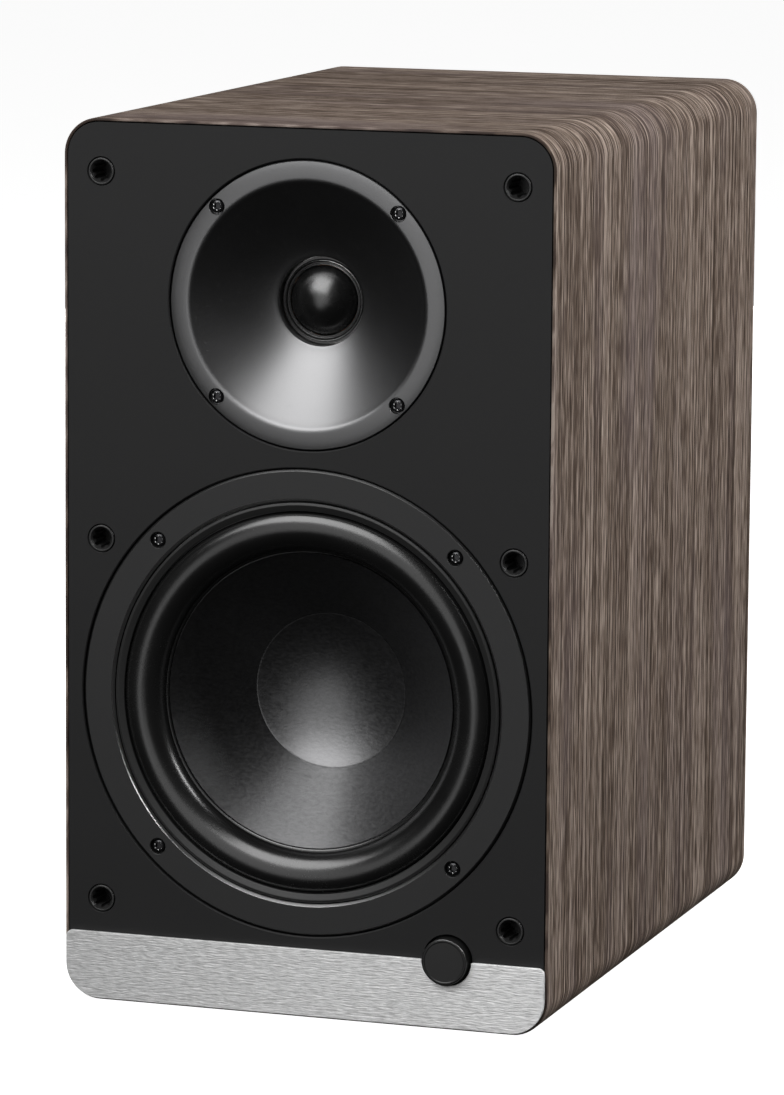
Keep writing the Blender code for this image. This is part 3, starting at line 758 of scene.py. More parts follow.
@dataclass(frozen=True)
class Satin(Finish):
    """Paint, plastic, ferrite or smooth metal: a fine grain in relief over slow changes of gloss."""

    roughness: float = 0.5
    specular: float = 0.5
    metallic: float = 0.0
    grain: float = 2600.0
    relief: float = 0.00002
    coat: float = 0.0

    def dress(self, sheet: Sheet) -> None:
        """Adds the finish's nodes.

        Args:
            sheet: the material's node sheet.
        """
        x, y, z = sheet.place()
        at = sheet.vector(x, y, z)
        cloud = sheet.noise(at, 24.0, 3.0)
        grain = sheet.noise(at, self.grain, 2.0)
        dust = sheet.map(sheet.noise(at, 900.0, 1.0), 0.66, 0.80)
        rough = self.roughness + (cloud - 0.5) * 0.12 + (grain - 0.5) * 0.10 + dust * 0.06
        sheet.finish(
            Base_Color=sheet.shade(cloud * 0.7 + grain * 0.3, self.colour, 0.82, 1.2),
            Roughness=rough,
            Metallic=self.metallic,
            Normal=sheet.bump(grain, self.relief, 0.6),
            Specular_IOR_Level=self.specular,
            Coat_Weight=self.coat,
            Coat_Roughness=0.08,
        )


class Brush(Enum):
    """Which way a metal was brushed."""

    ACROSS = "across"
    UPRIGHT = "upright"


@dataclass(frozen=True)
class Brushed(Finish):
    """Bare or plated metal with brush marks; a painted reflection sweep makes it lighter from left to
    right.
    """

    brush: Brush = Brush.ACROSS
    roughness: float = 0.34
    streak: float = 55.0
    fineness: float = 2600.0
    contrast: float = 0.16
    groove: float = 0.00002
    metallic: float = 1.0
    # share of painted reflection: the base colour grows lighter towards +x
    painted_reflection_sweep: float = 0.0

    def dress(self, sheet: Sheet) -> None:
        """Adds the finish's nodes.

        Args:
            sheet: the material's node sheet.
        """
        x, y, z = sheet.place()
        along, over = (x, z) if self.brush is Brush.ACROSS else (z, x)
        at = sheet.vector(along * self.streak, over * self.fineness, y * self.fineness)
        wide = sheet.vector(along * self.streak * 1.4, over * self.fineness * 0.26, y * 300.0)
        fine = sheet.noise(at, 1.0, 3.0, 0.6)
        broad = sheet.noise(wide, 1.0, 2.0, 0.6)
        streaks = sheet.map(fine * 0.6 + broad * 0.4, 0.34, 0.66)
        smudge = sheet.noise(sheet.vector(x, y, z), 30.0, 3.0)
        rough = self.roughness + (streaks - 0.5) * 0.16 + (smudge - 0.5) * 0.10
        colour: Any = self.colour
        # painted reflection: the base colour is made lighter towards +x, standing in for a brighter
        # reflection on the right of the plate
        if self.painted_reflection_sweep:
            colour = sheet.shade(x * 7.0 + 0.5, self.colour, 1.0 - self.painted_reflection_sweep, 1.0 + self.painted_reflection_sweep)
        sheet.finish(
            Base_Color=sheet.shade(streaks, colour, 1.0 - self.contrast, 1.0 + self.contrast * 0.5),
            Roughness=rough,
            Metallic=self.metallic,
            Normal=sheet.bump(streaks, self.groove, 0.8),
        )


@dataclass(frozen=True)
class Rubber(Finish):
    """Moulded rubber, a little greasy, with a faint bloom."""

    roughness: float = 0.42
    specular: float = 0.5

    def dress(self, sheet: Sheet) -> None:
        """Adds the finish's nodes.

        Args:
            sheet: the material's node sheet.
        """
        x, y, z = sheet.place()
        at = sheet.vector(x, y, z)
        bloom = sheet.noise(at, 45.0, 4.0, 0.6)
        skin = sheet.noise(at, 1800.0, 2.0)
        sheet.finish(
            Base_Color=sheet.shade(bloom, self.colour, 0.75, 1.35),
            Roughness=self.roughness + (bloom - 0.5) * 0.14 + (skin - 0.5) * 0.08,
            Normal=sheet.bump(skin, 0.000012, 0.5),
            Specular_IOR_Level=self.specular,
        )


@dataclass(frozen=True)
class ConeSkin(Finish):
    """A pressed fibre cone: short fibres in a dark satin lacquer."""

    roughness: float = 0.40

    def dress(self, sheet: Sheet) -> None:
        """Adds the finish's nodes.

        Args:
            sheet: the material's node sheet.
        """
        x, y, z = sheet.place()
        at = sheet.vector(x, y, z)
        swirl = sheet.noise(at, 130.0, 3.0)
        wander = sheet.vector(x * 700.0 + swirl * 5.0, y * 700.0, z * 1500.0 - swirl * 5.0)
        fibres = sheet.noise(wander, 1.0, 3.0, 0.65)
        speck = sheet.map(sheet.noise(at, 2400.0, 1.0), 0.60, 0.78)
        sheet.finish(
            Base_Color=sheet.mix(
                speck * 0.35, sheet.shade(fibres, self.colour, 0.7, 1.5), (0.10, 0.10, 0.10)
            ),
            Roughness=self.roughness + (fibres - 0.5) * 0.18,
            Normal=sheet.bump(fibres, 0.00003, 0.8),
            Metallic=1.0,
        )


@dataclass(frozen=True)
class Cloth(Finish):
    """Woven cloth in a stiffening coat."""

    thread: float = 0.0004
    roughness: float = 0.5
    relief: float = 0.00005
    specular: float = 0.5

    def dress(self, sheet: Sheet) -> None:
        """Adds the finish's nodes.

        Args:
            sheet: the material's node sheet.
        """
        x, y, z = sheet.place()
        turn = 2 * math.pi / self.thread
        warp = sheet.math("SINE", x * turn)
        weft = sheet.math("SINE", z * turn)
        weave = warp * weft * 0.5 + 0.5
        coat = sheet.noise(sheet.vector(x, y, z), 260.0, 3.0)
        sheet.finish(
            Base_Color=sheet.shade(weave * 0.6 + coat * 0.4, self.colour, 0.7, 1.3),
            Roughness=self.roughness + (coat - 0.5) * 0.2,
            Normal=sheet.bump(weave, self.relief, 0.6),
            Specular_IOR_Level=self.specular,
        )


@dataclass(frozen=True)
class Fibreboard(Finish):
    """Raw pressed board, with dark and pale fibres."""

    def dress(self, sheet: Sheet) -> None:
        """Adds the finish's nodes.

        Args:
            sheet: the material's node sheet.
        """
        x, y, z = sheet.place()
        at = sheet.vector(x, y, z)
        fluff = sheet.noise(at, 700.0, 4.0, 0.7)
        chips = sheet.map(sheet.noise(sheet.vector(x * 260.0, y * 900.0, z * 420.0), 1.0, 2.0), 0.58, 0.72)
        board = sheet.shade(fluff, self.colour, 0.65, 1.25)
        sheet.finish(
            Base_Color=sheet.mix(chips * 0.5, board, (0.16, 0.095, 0.05)),
            Roughness=0.78 + fluff * 0.14,
            Normal=sheet.bump(fluff, 0.0001, 0.6),
        )


@dataclass(frozen=True)
class Windings(Finish):
    """Enamelled wire wound side by side round an axis along the depth."""

    wire: float = 0.0003

    def dress(self, sheet: Sheet) -> None:
        """Adds the finish's nodes.

        Args:
            sheet: the material's node sheet.
        """
        x, y, z = sheet.place()
        turns = sheet.math("SINE", y * (2 * math.pi / self.wire)) * 0.5 + 0.5
        stain = sheet.noise(sheet.vector(x, y, z), 420.0, 3.0)
        sheet.finish(
            Base_Color=sheet.shade(turns * 0.7 + stain * 0.3, self.colour, 0.55, 1.2),
            Roughness=0.26 + stain * 0.16,
            Metallic=1.0,
            Normal=sheet.bump(turns, 0.0001, 0.8),
        )


@dataclass(frozen=True)
class CircuitBoard(Finish):
    """Lacquered board with copper tracks under the lacquer."""

    track: Colour = (0.02, 0.17, 0.075)
    board: Point = (0.1822, 0.1846)
    axis: int = 1

    def dress(self, sheet: Sheet) -> None:
        """Adds the finish's nodes.

        Args:
            sheet: the material's node sheet.
        """
        x, y, z = sheet.place()
        at = sheet.vector(x * 300.0, y * 300.0, z * 300.0)
        cells = sheet.wire(
            "ShaderNodeTexVoronoi", {"feature": "DISTANCE_TO_EDGE", "distance": "MANHATTAN"}, {0: at}, 0
        )
        tracks = sheet.map(cells, 0.06, 0.10, 1.0, 0.0)
        haze = sheet.noise(at, 0.4, 2.0)
        level = (x, y - FRONT, z)[self.axis]
        above = sheet.math("GREATER_THAN", level, self.board[1])
        parts = above + sheet.math("LESS_THAN", level, self.board[0])
        green = sheet.mix(tracks * 0.8, self.colour, self.track)
        sheet.finish(
            Base_Color=sheet.mix(parts, green, sheet.shade(haze, (0.020, 0.020, 0.022), 0.7, 1.3)),
            Roughness=0.28 + haze * 0.15,
            Normal=sheet.bump(tracks * (1.0 - parts), 0.00004, 0.5),
        )


@dataclass(frozen=True)
class Fleece(Finish):
    """Loose polyester wadding."""

    def dress(self, sheet: Sheet) -> None:
        """Adds the finish's nodes.

        Args:
            sheet: the material's node sheet.
        """
        x, y, z = sheet.place()
        at = sheet.vector(x, y, z)
        curl = sheet.noise(at, 90.0, 3.0)
        strands = sheet.noise(
            sheet.vector(x * 420.0 + curl * 6.0, y * 900.0, z * 420.0 - curl * 6.0), 1.0, 4.0, 0.7
        )
        sheet.finish(
            Base_Color=sheet.shade(strands * 0.6 + curl * 0.4, self.colour, 0.75, 1.1),
            Roughness=0.95,
            Normal=sheet.bump(strands, 0.0006, 0.8),
            Sheen_Weight=0.3,
        )


FOIL = WalnutFoil("walnut_foil", (0.152, 0.114, 0.090))
BAFFLE_BLACK = Satin("baffle_black", (0.0125, 0.0125, 0.0128), 0.52, 0.30, grain=3000.0)
PANEL_BLACK = Satin("panel_black", (0.016, 0.016, 0.016), 0.60, 0.35, grain=1500.0, relief=0.00006)
HORN_BLACK = Satin("horn_black", (0.155, 0.155, 0.157), 0.35, 0.5, 1.0, grain=3200.0, relief=0.000012)
DULL_EDGE = Satin("dull_edge", (0.14, 0.14, 0.14), 0.36, 0.5, 1.0, grain=3200.0, relief=0.00001)
BRIGHT_EDGE = Satin("bright_edge", (0.90, 0.90, 0.90), 0.22, 0.5, 1.0, grain=3200.0, relief=0.00001)
CUT_EDGE = Satin("cut_edge", (0.62, 0.62, 0.62), 0.30, 0.5, 1.0, grain=3200.0, relief=0.00001)
FLANGE_BLACK = Satin("flange_black", (0.013, 0.013, 0.0133), 0.46, 0.50, grain=2800.0, relief=0.000014)
MOULDED_BLACK = Satin("moulded_black", (0.014, 0.014, 0.014), 0.45, 0.45, grain=1900.0, relief=0.00003)
GLOSS_BLACK = Satin(
    "gloss_black", (0.007, 0.007, 0.007), 0.24, 0.45, grain=900.0, relief=0.000004, coat=0.3
)
GLOSS_RED = Satin("gloss_red", (0.42, 0.012, 0.010), 0.25, 0.5, grain=900.0, relief=0.000006, coat=0.4)
MOULDED_WHITE = Satin("moulded_white", (0.70, 0.69, 0.66), 0.38, 0.5, grain=1400.0, relief=0.00001)
COATED_STEEL = Satin("coated_steel", (0.020, 0.020, 0.021), 0.44, 0.5, 0.0, grain=1100.0, relief=0.00009)
BLACK_OXIDE = Satin("black_oxide", (0.030, 0.030, 0.032), 0.20, 0.5, 0.8, grain=1200.0, relief=0.000006)
FERRITE = Satin("ferrite", (0.055, 0.055, 0.060), 0.72, 0.4, grain=1300.0, relief=0.00008)
RUBBER = Rubber("surround_rubber", (0.006, 0.006, 0.006), 0.25, 0.8)
SOCKET_RUBBER = Rubber("socket_rubber", (0.020, 0.020, 0.020), 0.34)
CONE = ConeSkin("cone_skin", (0.120, 0.120, 0.122), 0.37)
SILK = Cloth("coated_silk", (0.004, 0.004, 0.004), 0.00032, 0.27, 0.000010, 1.0)
SPIDER = Cloth("spider_cloth", (0.36, 0.22, 0.055), 0.0009, 0.7, 0.0002, 0.3)
BOARD = Fibreboard("raw_board", (0.36, 0.25, 0.15))
COPPER = Windings("copper_windings", (0.72, 0.30, 0.14))
CIRCUIT = CircuitBoard("main_circuit", (0.010, 0.105, 0.045))
SUPPLY_CIRCUIT = CircuitBoard("supply_circuit", (0.010, 0.105, 0.045), board=(0.1757, 0.1777))
CROSSOVER_CIRCUIT = CircuitBoard("crossover_circuit", (0.010, 0.105, 0.045), board=(0.0120, 0.0143), axis=2)
WADDING = Fleece("wadding", (0.72, 0.71, 0.68))
ALUMINIUM = Brushed(
    "brushed_aluminium",
    (0.88, 0.88, 0.88),
    Brush.ACROSS,
    0.40,
    streak=290.0,
    fineness=2100.0,
    contrast=0.26,
    groove=0.00010,
    metallic=0.40,
    # painted reflection: the plate's colour lighter towards its right end
    painted_reflection_sweep=0.18,
)
ZINC = Brushed("zinc_plate", (0.58, 0.58, 0.57), Brush.UPRIGHT, 0.32)
GOLD = Brushed("gold_plate", (0.90, 0.66, 0.30), Brush.UPRIGHT, 0.20, contrast=0.08)


# ---------------------------------------------------------------- cabinet
@dataclass
class Cabinet:
    """The folded walls, the boards that close and stiffen them, the port and the wadding."""

    corner: float = 0.010
    lip: float = 0.0008
    wall: float = 0.009
    gap: float = 0.0003
    woofer: Spot = field(default_factory=lambda: Spot.of("woofer_basket"))
    tweeter: Spot = field(default_factory=lambda: Spot.of("tweeter_waveguide"))

    def build(self) -> None:
        """Builds every piece of the cabinet."""
        self.build_shell()
        self.build_baffle()
        self.build_boards()
        self.build_port()
        self.build_wadding()

    def build_shell(self) -> None:
        """The four walls: a box with round long edges, hollowed from both ends."""
        spot = Spot.of("cabinet_shell")
        seat = Spot.of("front_baffle").back + self.gap
        low, high = spot.corners
        piece = Piece.board("wrapped_cabinet", low, high, self.corner, 14)
        piece.pick(Part.FACES, faces_front).inset(self.lip).extrude((0, seat, 0))
        piece.inset(self.wall - self.lip)
        bpy.ops.mesh.delete(type="FACE")
        piece.pick(Part.FACES, faces_back).inset(self.wall)
        bpy.ops.mesh.delete(type="FACE")
        piece.pick(Part.EDGES, lambda edge: edge.is_boundary)
        bpy.ops.mesh.bridge_edge_loops()
        piece.weld()
        rim = FRONT + MARGIN
        piece.pick(
            Part.EDGES,
            lambda edge: all(v.co.y < rim for v in edge.verts) and len(edge.link_faces) == 2
            and edge.calc_face_angle() > 1.0,
        ).bevel(0.00028, 3)
        piece.weld().paint(FOIL)
        half_width, middle, inside = spot.size.x / 2, spot.middle.z, self.lip + 0.0001

        def hidden(face: Any) -> bool:
            """Whether a face is inside the tube."""
            reach_x = max(abs(face.center.x) - (half_width - self.corner), 0.0)
            reach_z = max(abs(face.center.z - middle) - (middle - self.corner), 0.0)
            flat = max(abs(face.center.x) - half_width, abs(face.center.z - middle) - middle)
            within = flat < -inside and math.hypot(reach_x, reach_z) < self.corner - inside
            return within and not faces_back(face) and face.center.y > FRONT + 0.001

        piece.paint_where(BOARD, hidden)
        piece.paint_where(PANEL_BLACK, lambda face: faces_back(face) and face.center.y > 0)
        piece.fit("cabinet", "wood_wrap", "cabinet_shell", angle=25)

    def build_baffle(self) -> None:
        """The front board with its stepped driver seats."""
        spot = Spot.of("front_baffle")
        low, high = spot.corners
        piece = Piece.board("black_front_baffle", low, high, self.corner - self.lip - self.gap, 14)
        out = spot.back + CLEAR
        for name, driver, hole in (("woofer", self.woofer, 0.0555), ("tweeter", self.tweeter, 0.0300)):
            radius, floor = driver.size.x / 2 + 0.0004, 0.0043
            step = [(0, -CLEAR), (radius + 0.0003, -CLEAR), (radius + 0.0003, 0), (radius, 0.0003)]
            step += [(radius, floor), (hole, floor), (hole, out), (0, out)]
            piece.cut(Piece.turned(f"{name}_seat", step, 0, driver.middle.z, FINE))
        knob = Spot.of("volume_knob").middle
        well = [(0, -CLEAR), (0.0071, -CLEAR), (0.0071, 0.005), (0.004, 0.005), (0.004, out), (0, out)]
        piece.cut(Piece.turned("knob_well", well, knob.x, knob.z, COARSE))
        for node in sorted(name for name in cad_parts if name.startswith("grille_socket")):
            centre = Spot.of(node).middle
            hole = [(0, -CLEAR), (0.0041, -CLEAR), (0.0041, 0), (0.0039, 0.0002), (0.0039, out), (0, out)]
            piece.cut(Piece.turned("socket_hole", hole, centre.x, centre.z, COARSE))
        piece.paint(BAFFLE_BLACK).fit("cabinet", "black_board", "front_baffle")

    def build_boards(self) -> None:
        """The rear panel and the brace with its two windows."""
        spot = Spot.of("rear_panel")
        low, high = spot.corners
        piece = Piece.board("black_rear_panel", low, high, 0.0027, 4)
        port, plate = Spot.of("port_tube").middle, Spot.of("amp_plate").middle
        deep = (spot.front - CLEAR, spot.back + CLEAR)
        for name, centre, width, height, corner in (
            ("port_hole", port, 0.0790, 0.0270, 0.0134),
            ("amplifier_hole", plate, 0.090, 0.118, 0.004),
        ):
            low = (centre.x - width / 2, deep[0], centre.z - height / 2)
            high = (centre.x + width / 2, deep[1], centre.z + height / 2)
            piece.cut(Piece.board(name, low, high, corner, 8))
        piece.ease(0.0004).paint(PANEL_BLACK).fit("cabinet", "black_board", "rear_panel")

        spot = Spot.of("window_brace")
        low, high = spot.corners
        piece = Piece.board("brace_with_windows", low, high, 0.0027, 4)
        half = 0.047
        for z in (0.070, 0.175):
            low, high = (-half, spot.front - CLEAR, z - half), (half, spot.back + CLEAR, z + half)
            piece.cut(Piece.board("window", low, high, 0.012, 6))
        piece.ease(0.0005).paint(BOARD).fit("cabinet", "bare_board", "window_brace")

    def build_port(self) -> None:
        """The slot port, drawn as one outline that is extruded and widened along its length."""
        spot = Spot.of("port_tube")
        centre, mouth, inner = spot.middle, spot.back, spot.front
        # (depth, half width, half height) along the inside, then back along the outside
        rings = [(mouth, 0.0396, 0.0136), (mouth - 0.0003, 0.0390, 0.0130)]
        for step in range(1, 9):
            share = step / 8
            flare = (1 - math.sin(share * math.pi / 2)) ** 1.4
            rings.append((mouth - 0.016 * share, 0.0305 + 0.0080 * flare, 0.0065 + 0.0060 * flare))
        rings.append((inner + 0.0120, 0.0305, 0.0065))
        for step in range(1, 7):
            share = step / 6
            flare = (1 - math.cos(share * math.pi / 2)) ** 1.4
            rings.append((inner + 0.0120 * (1 - share), 0.0305 + 0.0050 * flare, 0.0065 + 0.0045 * flare))
        rings += [(inner, 0.0380, 0.0135), (inner + 0.004, 0.0345, 0.0105), (inner + 0.012, 0.0330, 0.0090)]
        rings += [
            (mouth - 0.017, 0.0330, 0.0090),
            (mouth - 0.010, 0.0345, 0.0097),
            (mouth - 0.0017, 0.0390, 0.0130),
        ]
        rings += [(mouth - 0.0017, 0.0430, 0.0170), (mouth - 0.0005, 0.0430, 0.0170)]
        rings.append((mouth, 0.0424, 0.0164))
        depth, half_width, half_height = rings[0]
        low = (centre.x - half_width, depth - 0.001, centre.z - half_height)
        high = (centre.x + half_width, depth, centre.z + half_height)
        piece = Piece.board("bass_port", low, high, half_height - 0.0002, 10)
        piece.pick(Part.FACES, lambda face: not faces_back(face))
        bpy.ops.mesh.delete(type="FACE")
        piece.pick(Part.FACES, lambda face: True)
        bpy.ops.mesh.delete(type="ONLY_FACE")
        piece.pick(Part.EDGES, lambda edge: True)
        for before, after in zip(rings, rings[1:] + rings[:1]):
            piece.extrude((0, after[0] - before[0], 0))
            about = (centre.x, FRONT + after[0], centre.z)
            piece.scale((after[1] / before[1], 1, after[2] / before[2]), about)
        piece.weld().paint(MOULDED_BLACK).fit("cabinet", "satin_plastic", "port_tube")

    def build_wadding(self) -> None:
        """The wadding: a soft slab with a lumpy surface."""
        spot = Spot.of("damping_wadding")
        slack = 0.0022
        low = (spot.low.x + slack, spot.front + slack, spot.low.z + slack)
        high = (spot.high.x - slack, spot.back - slack, spot.high.z - slack)
        piece = Piece.block("wadding_slab", low, high)
        piece.pick(Part.FACES, lambda face: True)
        bpy.ops.mesh.subdivide(number_cuts=7)
        piece.modify("SUBSURF", levels=2, render_levels=2)
        lumps = bpy.data.textures.new("lumps", "CLOUDS")
        lumps.noise_scale = 0.02
        piece.modify("DISPLACE", texture=lumps, strength=0.0036, mid_level=0.5, texture_coords="LOCAL")
        piece.paint(WADDING).fit("cabinet", "wadding", "damping_wadding", angle=180)


# ---------------------------------------------------------------- front trim
@dataclass
class FrontTrim:
    """The aluminium plate along the bottom edge and the six grille sockets."""

    notch: float = 0.0071
    big_corner: float = 0.0094
    small_corner: float = 0.0018
    socket_steps: int = 48

    def build(self) -> None:
        """Builds the plate and the sockets."""
        self.build_plate()
        self.build_sockets()

    def build_plate(self) -> None:
        """The plate, with a round notch whose corners are eased."""
        spot, knob = Spot.of("trim_plate"), Spot.of("volume_knob").middle
        low, high = spot.corners
        piece = Piece.block("brushed_trim_plate", low, high)
        piece.pick(Part.EDGES, lambda edge: along_depth(edge) and edge.verts[0].co.z < spot.middle.z)
        piece.bevel(self.big_corner, 16)
        top = spot.high.z - MARGIN
        piece.pick(Part.EDGES, lambda edge: along_depth(edge) and edge.verts[0].co.z > top)
        piece.bevel(self.small_corner, 8)
        piece.cut(Piece.rod("notch", self.notch, -0.01, 0.01, knob.x, knob.z, FINE))
        reach = self.notch + 0.0004

        def notch_corner(edge: Any) -> bool:
            """Whether an edge is where the notch meets the top of the plate."""
            at = edge.verts[0].co
            return along_depth(edge) and at.z > top and abs(at.x - knob.x) < reach

        piece.pick(Part.EDGES, notch_corner).bevel(0.0009, 6)
        front = spot.low.y + TOUCH
        piece.pick(Part.EDGES, lambda edge: all(v.co.y < front for v in edge.verts)).bevel(0.00016, 3)
        piece.weld().paint(ALUMINIUM).fit("cabinet", "brushed_aluminium", "trim_plate", angle=28)

    def build_sockets(self) -> None:
        """One rubber cup with a ribbed bore, copied to its six places."""
        nodes = sorted(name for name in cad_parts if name.startswith("grille_socket"))
        spot = Spot.of(nodes[0])
        radius, back = spot.size.x / 2, spot.back
        shape = [
            (0, back),
            (radius, back, 0.0003),
            (radius, -0.00015, 0.0002),
            (0.0032, -0.00015, 0.0001),
            (0.00295, 0.0003, 0.0002),
            (0.0023, 0.0014, 0.0002),
            (0.0023, 0.0090),
            (0, 0.0090),
        ]
        master = Piece.turned("socket_master", shape, spot.middle.x, spot.middle.z, self.socket_steps)
        groove = 0.00058
        for number in range(8):
            angle = 2 * math.pi * number / 8
            x = spot.middle.x + 0.0023 * math.cos(angle)
            z = spot.middle.z + 0.0023 * math.sin(angle)
            master.cut(Piece.rod("groove", groove, 0.0006, 0.0088, x, z, 14))
        master.paint(SOCKET_RUBBER)
        for node in nodes:
            shift = Spot.of(node).middle - spot.middle
            master.copy(f"{node}_cup", shift).fit("cabinet", "rubber", node)
        bpy.data.objects.remove(master.obj)


# ---------------------------------------------------------------- screws
@dataclass
class SocketScrews:
    """Four hexagon-socket screws of one driver."""

    prefix: str
    head: float = 0.0019
    shank: float = 0.0012
    key: float = 0.00095

    def build(self) -> None:
        """Models one screw and copies it to its four places."""
        nodes = [f"{self.prefix}_screw_{number}" for number in range(1, 5)]
        spot = Spot.of(nodes[0])
        top, tip = spot.front, spot.back
        seat = top + 0.0012
        shape = [(0, top), (0.0008, top + 0.00004), (0.0012, top + 0.00012), (0.0015, top + 0.00024)]
        shape += [
            (0.0017, top + 0.00038),
            (self.head, top + 0.00066, 0.0001),
            (self.head, seat),
            (self.shank, seat),
        ]
        depth, pitch = seat + 0.001, 0.0009
        while depth < tip - 0.0035:
            shape += [(self.shank, depth), (self.shank - 0.00028, depth + pitch / 2)]
            depth += pitch
        shape += [(self.shank, depth), (0, tip)]
        x, z = spot.middle.x, spot.middle.z
        master = Piece.turned("screw_master", shape, x, z, 40)
        master.cut(Piece.rod("key_hole", self.key, top - CLEAR, top + 0.0010, x, z, 6))
        key_rim = FRONT + top + 0.0002

        def mouth_of_key(edge: Any) -> bool:
            """Whether an edge is round the mouth of the key hole."""
            near = all(off_axis(v.co, x, z) < self.key + 0.00005 and v.co.y < key_rim for v in edge.verts)
            return near and edge.calc_face_angle(0) > 0.8

        master.pick(Part.EDGES, mouth_of_key).bevel(0.00026, 2)
        master.weld().paint(BLACK_OXIDE)

        def worn(face: Any) -> bool:
            """Whether a face is on the bright edge of the key hole."""
            out = off_axis(face.center, x, z)
            return self.key - 0.0003 < out < self.key + 0.0003 and 0.10 < -face.normal.y < 0.97

        master.paint_where(BRIGHT_EDGE, worn)
        for node in nodes:
            shift = Spot.of(node).middle - spot.middle
            master.copy(f"{node}_socket_head", shift).fit("cabinet", "black_steel", node)
        bpy.data.objects.remove(master.obj)

    def clear_holes(self, flange: Piece) -> None:
        """Cuts the screws' counterbored holes in a flange.

        Args:
            flange: the piece that the screws go through.
        """
        for number in range(1, 5):
            spot = Spot.of(f"{self.prefix}_screw_{number}")
            hole = [(0, -CLEAR), (0.0024, -CLEAR), (0.0024, 0), (0.0022, 0.0002), (0.0022, 0.0019)]
            hole += [(0.0015, 0.0019), (0.0015, 0.006), (0, 0.006)]
            flange.cut(Piece.turned("screw_hole", hole, spot.middle.x, spot.middle.z, 32))


# ---------------------------------------------------------------- driver parts
def blend_by_radius(obj: bpy.types.Object, centre: Point) -> None:
    """Puts a ring's place into its mesh and measures each point's distance from its axis.

    Args:
        obj: the ring.
        centre: x and z of the ring's axis.
    """
    x, z = centre
    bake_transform(obj)
    for vertex in obj.data.vertices:
        radius = off_axis(vertex.co, x, z)


